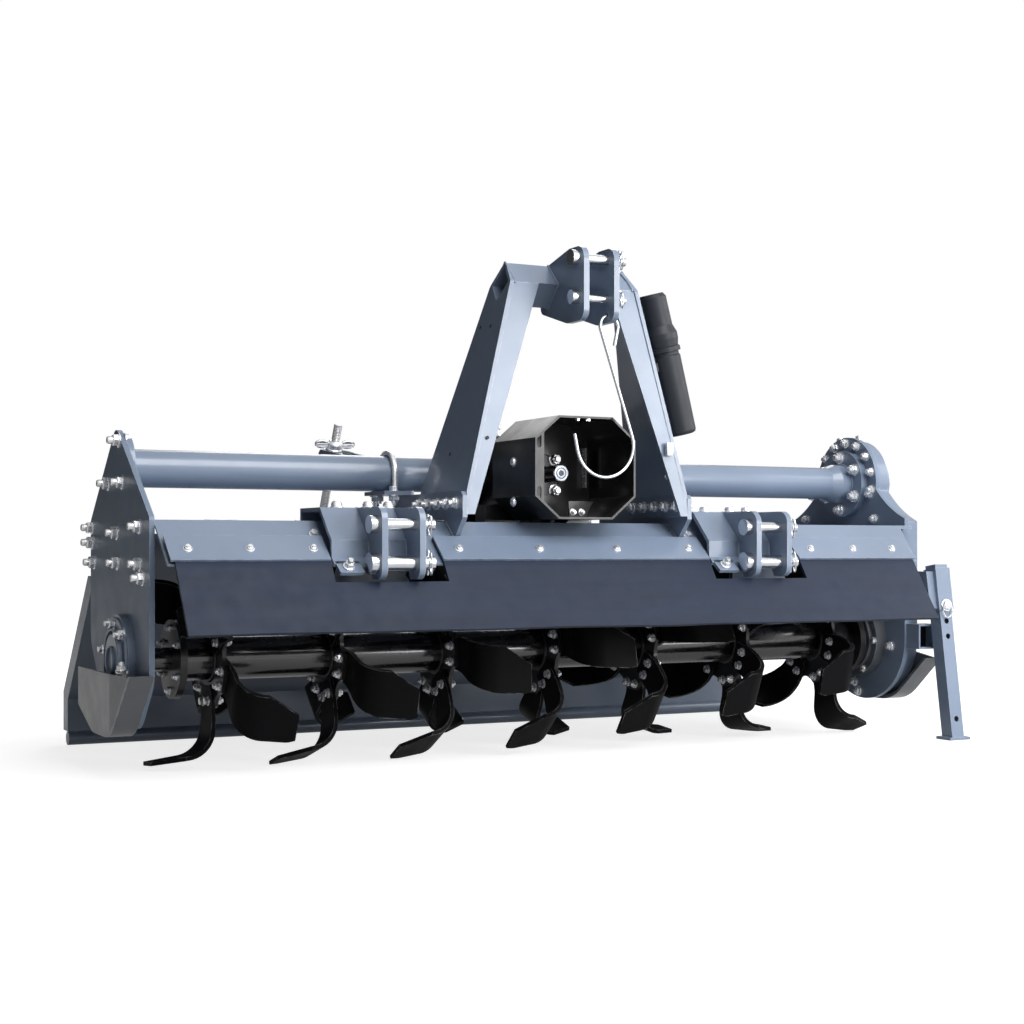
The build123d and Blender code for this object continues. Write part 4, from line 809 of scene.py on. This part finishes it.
class TILLER_OT_strip_bolts(bpy.types.Operator):
    """Bolt the flap's strips, the lower brackets and the mast's gussets"""

    bl_idname = "tiller.strip_bolts"
    bl_label = "Strip and bracket bolts"

    # shares of each strip's length
    shares = ((0.12, 0.50, 0.90), (0.07, 0.36, 0.65, 0.93), (0.14, 0.50, 0.84))

    # corners of the tab under a bracket: across, and down the sloping front, in mm
    tab = ((0, 126), (48, 126), (50, 158), (3, 158))

    def execute(self, context):
        hardware = context.scene.tiller_hardware
        bm = bmesh.new()
        limits = [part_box(node) for node in BRACKETS]
        ends = [low("flap_strips").x, limits[0][0].x, limits[0][1].x + NOTCH_SIDE,
                limits[1][0].x, limits[1][1].x + NOTCH_SIDE, high("flap_strips").x]
        for (start, end), shares in zip(zip(ends[::2], ends[1::2]), self.shares):
            for i, share in enumerate(shares):
                place = on_slope(start + (end - start) * share, 94 * MM, 11 * MM)
                round_head(bm, place, SLOPE_OUT, hardware.strip_bolt * 0.92)
                lathe(bm, facing(place + SLOPE_OUT * hardware.strip_bolt * 0.6, SLOPE_OUT), [
                    (hardware.strip_bolt * 0.5, 0), (hardware.strip_bolt * 0.5, hardware.strip_bolt * 0.3)],
                    8, start=i * 0.8)
        for node in BRACKETS:
            self.bracket(bm, node, hardware)
        for side in (-1, 1):
            self.gusset(bm, side, hardware)
        piece("strip_bolts", bm, [finish("zinc")], "frame")
        bm = bmesh.new()
        for node in BRACKETS:
            x = low(node).x + 3 * MM
            corners = [on_slope(x + across * MM, down * MM, 8 * MM) for across, down in self.tab]
            panel(bm, corners, -SLOPE_OUT * 7 * MM)
        piece("bracket_tabs", bm, [finish("paint_slate")], "frame")
        return {"FINISHED"}

    @staticmethod
    def bracket(bm, node, hardware):
        """Three bolts along the top's front edge, one on the foot and one beside it."""
        lowest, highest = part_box(node)
        front = DECK_FRONT_Y - 14 * MM
        for reach in (40, 104, 146):
            domed_nut(bm, Vector((lowest.x + reach * MM, front, highest.z)), (0, 0, 1), hardware.frame_bolt * 0.9)
        foot = on_slope(lowest.x + 26 * MM, 142 * MM, 8.5 * MM)
        bolt(bm, foot, SLOPE_OUT, hardware.strip_bolt * 1.2, hardware.strip_bolt * 0.9)
        bolt(bm, on_slope(lowest.x - 12 * MM, 40 * MM, 0), SLOPE_OUT, hardware.strip_bolt)

    @staticmethod
    def gusset(bm, side, hardware):
        """A row of bolts through the leg's foot and the gusset."""
        leg = "mast_leg_left" if side < 0 else "mast_leg_right"
        gusset = "gusset_left" if side < 0 else "gusset_right"
        face = (low(leg).x if side < 0 else high(leg).x) - side * 8 * MM
        outer = low(gusset).x if side < 0 else high(gusset).x
        size = hardware.frame_bolt * 0.85
        for i in range(5):
            place = at(0, -222 + 43 * i, 516)
            bolt(bm, Vector((face, place.y, place.z)), (-side, 0, 0), size, size * 0.4, i * 0.6)
            bolt(bm, Vector((outer, place.y, place.z)), (side, 0, 0), size, size * 0.7, i * 0.9)


class TILLER_OT_tine_bolts(bpy.types.Operator):
    """Bolt each tine to its flange with two bolts, and the rotor's end discs to its tube"""

    bl_idname = "tiller.tine_bolts"
    bl_label = "Tine bolts"

    def execute(self, context):
        hardware = context.scene.tiller_hardware
        size = hardware.tine_bolt
        bm = bmesh.new()
        for index in range(FLANGES):
            x = middle(f"tines_{index + 1}").x
            for k in range(TINES):
                angle = degrees(hardware.rotor_phase + hardware.helix_step * index) + 360 * k / TINES
                side = -1 if k % 2 == 0 else 1
                for turn in (-11, 11):
                    place = around_x(Vector((x, ROTOR.y, ROTOR.z)), 84 * MM, angle + turn)
                    head = place + Vector((side * 12 * MM, 0, 0))
                    back = place - Vector((side * 4 * MM, 0, 0))
                    bolt(bm, head, (side, 0, 0), size, 0, k * 0.5)
                    bolt(bm, back, (-side, 0, 0), size, size * 0.45, k * 0.8)
        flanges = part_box("rotor_flanges")
        for x, side in ((flanges[0].x, -1), (flanges[1].x, 1)):
            for i in range(6):
                place = around_x(Vector((x, ROTOR.y, ROTOR.z)), 60 * MM, 60 * i + 30)
                bolt(bm, place, (side, 0, 0), size * 0.8, size * 0.4, i * 0.4)
        piece("tine_bolts", bm, [finish("zinc")], "rotor")
        return {"FINISHED"}


# ---------------------------------------------------------------- hitch pins
class TILLER_OT_linch_pins(bpy.types.Operator):
    """Put a ringed linch pin through the tail of each hitch pin"""

    bl_idname = "tiller.linch_pins"
    bl_label = "Linch pins"

    # node, height from the node's lowest point in mm, radius of the pin in mm
    pins = (
        ("lower_pins_left", 20, 14), ("lower_pins_left", 89, 11),
        ("lower_pins_right", 20, 14), ("lower_pins_right", 89, 11),
        ("top_pins", 14, 8), ("top_pins", 91, 9.5),
    )

    def execute(self, context):
        bm = bmesh.new()
        for i, (node, up, radius) in enumerate(self.pins):
            tip = high(node).x
            centre = Vector((tip - 11 * MM, middle(node).y, low(node).z + up * MM))
            self.linch(bm, centre, radius * MM, -1 if i % 2 else 1)
        piece("linch_pins", bm, [finish("pins")], "frame")
        return {"FINISHED"}

    @staticmethod
    def linch(bm, centre, radius, lean):
        """A pin across the tail, and its spring ring hanging over the front."""
        lathe(bm, facing(centre - Vector((0, 0, radius + 9 * MM)), (0, 0, 1)), [
            (1.5 * MM, 0), (3.0 * MM, 3 * MM), (3.0 * MM, 2 * radius + 13 * MM), (5.0 * MM, 2 * radius + 14 * MM),
            (5.0 * MM, 2 * radius + 19 * MM), (3.2 * MM, 2 * radius + 21 * MM)], 10)
        hook = radius + 8 * MM
        points = []
        for i in range(25):
            turn = radians(90 + 360 * i / 25)
            points.append(centre + Vector((lean * 2 * MM * sin(turn / 2), -hook * cos(turn) * 0.25 - 0.6 * hook,
                                           hook * sin(turn))))
        tube_along(bm, points, [1.6 * MM] * len(points), 6, True)


# ---------------------------------------------------------------- wing nuts
class TILLER_OT_wing_nuts(bpy.types.Operator):
    """Give each depth rod's stop nut its looped wings, a collar and a washer"""

    bl_idname = "tiller.wing_nuts"
    bl_label = "Wing nuts"

    # in mm: the wings' height over the guide, their reach from its middle, and their wire's radius
    wing_height, wing_reach, wire = 35, 29, 3.2
    # washer and collar, in mm: radius and height
    collar = ((21, 0), (21, 2.4), (18.5, 3), (18.5, 8), (17, 9.5), (17, 20), (12, 25))

    def execute(self, context):
        for side in ("left", "right"):
            up = Vector(TILLER_OT_finishes.rod_axis(side)).normalized()
            up = up if up.z > 0 else -up
            seat = middle("rod_guide_" + side)
            bm = bmesh.new()
            for hand in (-1, 1):
                centre = seat + up * self.wing_height * MM + Vector((hand * self.wing_reach * MM, 0, 0))
                turns = [tau * i / 28 for i in range(28)]
                points = [centre + Vector((14 * MM * cos(t), 0, 0)) + up * (7.5 * MM * sin(t)) for t in turns]
                tube_along(bm, points, [self.wire * MM] * len(points), 8, True)
            collar = [(radius * MM, height * MM) for radius, height in self.collar]
            lathe(bm, facing(seat + up * 17.6 * MM, up), collar, 24)
            piece("wing_nut_" + side, bm, [finish("zinc")], "rod_" + side)
        return {"FINISHED"}


# ---------------------------------------------------------------- mast and stand
class TILLER_OT_mast_fittings(bpy.types.Operator):
    """Clip of the mast, dark discs painted as shade where its spare holes are, nuts of the tube's U-bolts, and the
    stand's pin
    """

    bl_idname = "tiller.mast_fittings"
    bl_label = "Mast and stand fittings"

    # holes through the left leg's web: rearward of the rotor's axis and above the floor, in mm
    holes = ((-136, 872), (-184, 869), (-131, 616))

    def execute(self, context):
        size = context.scene.tiller_hardware.frame_bolt
        bm = bmesh.new()
        block(bm, at(170, -252, 631), Vector((16, 9, 27)) * MM, 2 * MM)
        bolt(bm, at(192, -215, 577), (-1, 0, 0), size * 0.55, size * 0.3)
        for side in (-1, 1):
            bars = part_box("tube_u_bolts")
            x = (bars[0].x if side < 0 else bars[1].x) - side * 6 * MM
            for y in (bars[0].y + 6 * MM, bars[1].y - 6 * MM):
                place = Vector((x, y, low("tube_saddles").z))
                bolt(bm, place, (0, 0, -1), size * 0.9, size * 0.9, y)
                bolt(bm, place + Vector((0, 0, 8 * MM)), (0, 0, 1), size * 0.75, 0, y)
        self.stand_pin(bm, size)
        piece("mast_fittings", bm, [finish("zinc")], "frame")
        bm = bmesh.new()
        # Black discs laid on the faces where the holes are: painted shade standing for the open holes.
        for rear, up in self.holes:
            lathe(bm, facing(self.web(rear, up), self.web_out()), [(3.6 * MM, -MM), (3.6 * MM, 0.3 * MM)], 14)
        lathe(bm, facing(at(-242, -245.5, 643), (0, -1, 0.06)), [(3.6 * MM, -MM), (3.6 * MM, 0.8 * MM)], 14)
        piece("mast_hole_shade_discs", bm, [finish("black_plastic")], "frame")
        return {"FINISHED"}

    @staticmethod
    def web_out():
        """Outward direction of the left leg's web."""
        lowest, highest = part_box("mast_leg_left")
        cross = low("mast_cross_tube").x
        return Vector((-(highest.z - at(0, 0, 540).z), 0, cross - lowest.x + 11 * MM)).normalized()

    @classmethod
    def web(cls, rear, up):
        """A point on the outer face of the left leg's web."""
        share = (up - 540) / (955 - 540)
        place = at(0, rear, up)
        place.x = low("mast_leg_left").x + share * 105 * MM
        return place

    @staticmethod
    def stand_pin(bm, size):
        """Domed pin through the stand's sleeve, with its ring."""
        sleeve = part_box("stand_sleeve")
        x = sleeve[1].x - 20.5 * MM
        out = Vector((0, -cos(radians(8.4)), sin(radians(8.4))))
        place = Vector((x, sleeve[0].y + 0.8 * MM, sleeve[0].z + 16 * MM))
        round_head(bm, place, out, size * 0.95)
        turns = [radians(360 * i / 28) for i in range(28)]
        centre = place + out * 5 * MM - Vector((0, 0, 11 * MM))
        tube_along(bm, [centre + Vector((13 * MM * cos(t), 0, 17 * MM * sin(t))) for t in turns],
                   [1.5 * MM] * 28, 6, True)


# ---------------------------------------------------------------- shield and gearbox
class TILLER_OT_drive_fittings(bpy.types.Operator):
    """Bolts, breather, caps and seal of the gearbox and its shield"""

    bl_idname = "tiller.drive_fittings"
    bl_label = "Gearbox fittings"

    def execute(self, context):
        size = context.scene.tiller_hardware.frame_bolt
        bm = bmesh.new()
        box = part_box("gearbox")
        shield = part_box("pto_shield")
        nose = box[0].y
        for turn in (45, 135, 225, 315):
            place = Vector((PTO.x + 46 * MM * cos(radians(turn)), nose, PTO.z + 46 * MM * sin(radians(turn))))
            bolt(bm, place, (0, -1, 0), size * 0.95, size * 0.5, turn)
        for i in range(6):
            turn = tau * i / 6
            place = Vector((PTO.x + 40 * MM * cos(turn), box[1].y, PTO.z + 40 * MM * sin(turn)))
            bolt(bm, place, (0, 1, 0), size * 0.75, 0, i)
        for y, z in ((-180, 601), (-180, 521), (-245, 664), (-245, 510)):
            place = at(0, y, z)
            for x, side in ((shield[0].x, -1), (shield[1].x, 1)):
                if abs(place.z - PTO.z) < 0.07:
                    round_head(bm, Vector((x, place.y, place.z)), (side, 0, 0), size * 0.7)
        for x in (-14, 10):
            bolt(bm, at(middle("pto_shield").x / MM + x + 6.5, -262, 0) + Vector((0, 0, shield[1].z - 4 * MM)),
                 (0, 0, -1), size * 0.4)
        stand = middle("shield_bracket")
        front = low("shield_bracket").y
        tall = high("shield_bracket").z
        for reach in (-12, 8):
            bolt(bm, Vector((stand.x + reach * MM, front + 3 * MM, tall + 16 * MM)), (0, -1, 0),
                 size * 0.5, size * 0.3, reach)
        lathe(bm, facing(Vector((PTO.x - 30 * MM, TUBE.y, box[1].z)), (0, 0, 1)), [
            (11 * MM, -4 * MM), (11 * MM, 6 * MM), (7 * MM, 8 * MM), (7 * MM, 16 * MM), (10 * MM, 18 * MM),
            (10 * MM, 26 * MM), (6 * MM, 30 * MM)], 16)
        piece("gearbox_fittings", bm, [finish("zinc")], "frame")
        self.plates()
        return {"FINISHED"}


    @staticmethod
    def plates():
        """The standing plate that the shield's bracket carries, and the edge of the shield's inner sheet."""
        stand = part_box("shield_bracket")
        y = stand[0].y + 3 * MM
        z = stand[1].z + 4.5 * MM
        bm = bmesh.new()
        panel(bm, [Vector((stand[0].x + x * MM, y, z + up * MM)) for x, up in
                   ((10, 0), (46, 0), (66, 34), (8, 34))], Vector((0, 4 * MM, 0)))
        piece("shield_plate", bm, [finish("paint_black")], "frame")
        bm = bmesh.new()
        tip = low("pto_shaft").y
        for radius, inner in ((15.5, 11.5), (9.5, 6.0)):
            loops = [ring(bm, facing(Vector((PTO.x, tip + rise * MM, PTO.z)), (0, -1, 0)), at_radius * MM, 0, 40)
                     for at_radius, rise in ((inner, 0.5), (inner, -1.5), (radius, -1.5), (radius, 0.5))]
            close_round(bm, loops)
        rings = chrome("finish_turned_rings", (0.17, 0.18, 0.20), 0.26)
        piece("shaft_end_rings", bm, [rings], "pto")
        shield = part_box("pto_shield")
        edge = Vector((shield[1].x - 22 * MM, shield[1].y - 22 * MM, PTO.z - 26 * MM))
        bm = bmesh.new()
        thick, tall = Vector((2 * MM, 0, 0)), Vector((0, 0, 83 * MM))
        panel(bm, [edge, edge + thick, edge + thick + tall, edge + tall], Vector((0, 17 * MM, 0)))
        piece("shield_edge", bm, [finish("zinc")], "frame")


# ---------------------------------------------------------------- welds
class TILLER_OT_welds(bpy.types.Operator):
    """Lay weld beads where the plates and tubes of the frame meet"""

    bl_idname = "tiller.welds"
    bl_label = "Welds"

    def execute(self, context):
        radius = context.scene.tiller_hardware.weld
        bm = bmesh.new()
        self.mast(bm, radius)
        self.clevises(bm, radius)
        self.tubes(bm, radius)
        piece("frame_welds", bm, [finish("paint_slate")], "frame", 60)
        bm = bmesh.new()
        for index in range(FLANGES):
            x = middle(f"tines_{index + 1}").x
            for side in (-1, 1):
                weld(bm, circle_x(Vector((x + side * 4.5 * MM, ROTOR.y, ROTOR.z)), 43 * MM), radius * 1.3, True)
        piece("rotor_welds", bm, [finish("paint_black")], "rotor", 60)
        return {"FINISHED"}

    @staticmethod
    def mast(bm, radius):
        """Round the cross tube, and along the foot of each gusset."""
        cross = middle("mast_cross_tube")
        reach = 60 * MM / 2 ** 0.5
        for side in (-1, 1):
            x = (low("mast_cross_tube").x if side < 0 else high("mast_cross_tube").x) - side * 22 * MM
            corners = [Vector((x, cross.y + reach * cos(tau * i / 4), cross.z + reach * sin(tau * i / 4)))
                       for i in range(4)]
            weld(bm, corners, radius, True)
            gusset = "gusset_left" if side < 0 else "gusset_right"
            lowest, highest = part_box(gusset)
            for face in (lowest.x, highest.x):
                weld(bm, [Vector((face, DECK_FRONT_Y + 4 * MM, DECK_Z + 1 * MM)),
                          Vector((face, highest.y - 4 * MM, DECK_Z + 1 * MM))], radius)
                weld(bm, [on_slope(face, 3 * MM, 1 * MM), on_slope(face, 52 * MM, 1 * MM)], radius)
        inner = low("top_clevis").x, high("top_clevis").x
        for x in inner:
            corners = [Vector((x, cross.y + reach * cos(tau * i / 4), cross.z + reach * sin(tau * i / 4)))
                       for i in range(4)]
            weld(bm, corners, radius, True)

    @staticmethod
    def clevises(bm, radius):
        """Where each lower clevis plate meets the bracket's top, slanted face and knee."""
        run = [(-203, 505), (-206, 500), (-264, 440), (-267, 408)]
        for node in ("lower_clevis_left", "lower_clevis_right"):
            right = high(node).x
            for x in (right, right - 12 * MM, right - 76 * MM, right - 88 * MM):
                corners = [at(0, y, z) for y, z in run]
                weld(bm, [Vector((x, corner.y, corner.z)) for corner in corners], radius)

    @staticmethod
    def tubes(bm, radius):
        """Round the tube at its flanges and at the gearbox's necks."""
        places = (
            (low("tube_left").x + 12.5 * MM, 37),
            (high("tube_left").x - 1 * MM, 37),
            (low("tube_right").x + 1 * MM, 37),
            (high("tube_right").x - 17.5 * MM, 45),
        )
        for x, reach in places:
            weld(bm, circle_x(Vector((x, TUBE.y, TUBE.z)), reach * MM), radius, True)


# ---------------------------------------------------------------- stage
class TILLER_OT_stage(bpy.types.Operator):
    """Lay the pale floor, hang the soft lights and set the camera"""

    bl_idname = "tiller.stage"
    bl_label = "Stage"

    def execute(self, context):
        stage = context.scene.tiller_stage
        context.scene.view_settings.view_transform = "Standard"
        self.floor(stage)
        self.world(stage)
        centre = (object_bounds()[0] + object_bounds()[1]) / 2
        self.light("key_light", Vector((0.4, -3.4, 3.4)), centre, 3.0, stage.key)
        self.light("front_light", Vector((1.55, -3.1, 1.05)), centre, 1.3, stage.front)
        self.light("fill_light", Vector((3.6, -1.6, 1.8)), centre, 2.2, stage.fill)
        self.light("rear_light", Vector((1.6, 3.4, 3.0)), centre, 2.4, stage.fill)
        data = bpy.data.cameras.new("camera")
        data.lens = stage.lens
        data.sensor_width = 36
        data.shift_y = stage.rise
        data.clip_start, data.clip_end = 0.05, 100
        camera = bpy.data.objects.new("camera", data)
        camera.location = stage.eye
        camera.rotation_euler = (pi / 2, 0, -stage.yaw)
        context.scene.collection.objects.link(camera)
        context.scene.camera = camera
        return {"FINISHED"}

    @staticmethod
    def floor(stage):
        bm = bmesh.new()
        reach = 30.0
        corners = [bm.verts.new((x, y, -0.0005)) for x, y in
                   ((-reach, -reach), (reach, -reach), (reach, reach), (-reach, reach))]
        bm.faces.new(corners)
        mesh = bpy.data.meshes.new("floor")
        bm.to_mesh(mesh)
        bm.free()
        made = bpy.data.objects.new("floor", mesh)
        bpy.context.scene.collection.objects.link(made)
        s = Shader("floor")
        colour = s.mix(s.noise(0.8, 3), colour4(stage.floor, 0.99), colour4(stage.floor, 1.0))
        s.join(colour, "Base Color")
        s.surface.inputs["Roughness"].default_value = 0.9
        path = s.add("ShaderNodeLightPath").outputs
        shown = s.maths("MAXIMUM", path["Is Camera Ray"], path["Is Transmission Ray"])
        shown = s.maths("MAXIMUM", shown, s.maths("MULTIPLY", path["Is Glossy Ray"], 0.35))
        away = s.add("ShaderNodeVectorMath", {0: s.position}, operation="LENGTH").outputs["Value"]
        glow = s.ramp(away, 1.3, 3.6, stage.glow, 1.0)
        s.surface.inputs["Emission Color"].default_value = (1, 1, 1, 1)
        s.join(s.maths("MULTIPLY", shown, glow), "Emission Strength")
        mesh.materials.append(s.material)
        made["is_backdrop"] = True

    @staticmethod
    def world(stage):
        """White to the camera, a studio that darkens towards the rear left to reflections, and dim to the rest."""
        world = bpy.context.scene.world or bpy.data.worlds.new("world")
        bpy.context.scene.world = world
        world.use_nodes = True
        tree = world.node_tree
        tree.nodes.clear()

        def maths(operation, first, second):
            node = tree.nodes.new("ShaderNodeMath")
            node.operation = operation
            for socket, value in zip(node.inputs, (first, second)):
                if isinstance(value, bpy.types.NodeSocket):
                    tree.links.new(value, socket)
                else:
                    socket.default_value = value
            return node.outputs[0]

        path = tree.nodes.new("ShaderNodeLightPath").outputs
        towards = tree.nodes.new("ShaderNodeVectorMath")
        towards.operation = "DOT_PRODUCT"
        tree.links.new(tree.nodes.new("ShaderNodeTexCoord").outputs["Generated"], towards.inputs[0])
        towards.inputs[1].default_value = (0.50, -0.78, 0.38)
        studio = tree.nodes.new("ShaderNodeMapRange")
        studio.inputs["From Min"].default_value = -0.45
        studio.inputs["From Max"].default_value = 0.45
        studio.inputs["To Min"].default_value = 0.05
        tree.links.new(towards.outputs["Value"], studio.inputs["Value"])
        clear = maths("MAXIMUM", path["Is Camera Ray"], path["Is Transmission Ray"])
        seen = maths("MAXIMUM", clear, path["Is Glossy Ray"])
        level = maths("MAXIMUM", seen, stage.sky)
        strength = maths("MULTIPLY", level, maths("MAXIMUM", clear, studio.outputs["Result"]))
        back = tree.nodes.new("ShaderNodeBackground")
        back.inputs["Color"].default_value = (1, 1, 1, 1)
        tree.links.new(strength, back.inputs["Strength"])
        out = tree.nodes.new("ShaderNodeOutputWorld")
        tree.links.new(back.outputs[0], out.inputs["Surface"])

    @staticmethod
    def light(name, place, target, size, power):
        data = bpy.data.lights.new(name, "AREA")
        data.shape = "SQUARE"
        data.size = size
        data.energy = power
        lamp = bpy.data.objects.new(name, data)
        lamp.location = place
        lamp.rotation_euler = (target - place).to_track_quat("-Z", "Y").to_euler()
        bpy.context.scene.collection.objects.link(lamp)


# ---------------------------------------------------------------- panel and registration
OPERATORS = (
    TILLER_OT_finishes,
    TILLER_OT_flap,
    TILLER_OT_plate_bolts,
    TILLER_OT_case_bolts,
    TILLER_OT_strip_bolts,
    TILLER_OT_tine_bolts,
    TILLER_OT_linch_pins,
    TILLER_OT_wing_nuts,
    TILLER_OT_mast_fittings,
    TILLER_OT_drive_fittings,
    TILLER_OT_welds,
    TILLER_OT_stage,
)


class TILLER_PT_panel(bpy.types.Panel):
    """Sizes and colours of the tiller, and the steps that dress it"""

    bl_idname = "TILLER_PT_panel"
    bl_label = "Rotary tiller"
    bl_space_type = "VIEW_3D"
    bl_region_type = "UI"
    bl_category = "Tiller"

    def draw(self, context):
        layout = self.layout
        for group in ("tiller_paint", "tiller_hardware", "tiller_stage"):
            settings = getattr(context.scene, group)
            box = layout.box()
            for name in settings.__annotations__:
                box.prop(settings, name)
        for operator in OPERATORS:
            layout.operator(operator.bl_idname)


CLASSES = (TillerPaint, TillerHardware, TillerStage) + OPERATORS + (TILLER_PT_panel,)


def register():
    for cls in CLASSES:
        bpy.utils.register_class(cls)
    bpy.types.Scene.tiller_paint = PointerProperty(type=TillerPaint)
    bpy.types.Scene.tiller_hardware = PointerProperty(type=TillerHardware)
    bpy.types.Scene.tiller_stage = PointerProperty(type=TillerStage)


def unregister():
    del bpy.types.Scene.tiller_stage
    del bpy.types.Scene.tiller_hardware
    del bpy.types.Scene.tiller_paint
    for cls in reversed(CLASSES):
        bpy.utils.unregister_class(cls)


def main():
    register()
    for operator in OPERATORS:
        getattr(bpy.ops.tiller, operator.bl_idname.split(".")[1])()


if __name__ == "__main__":
    main()
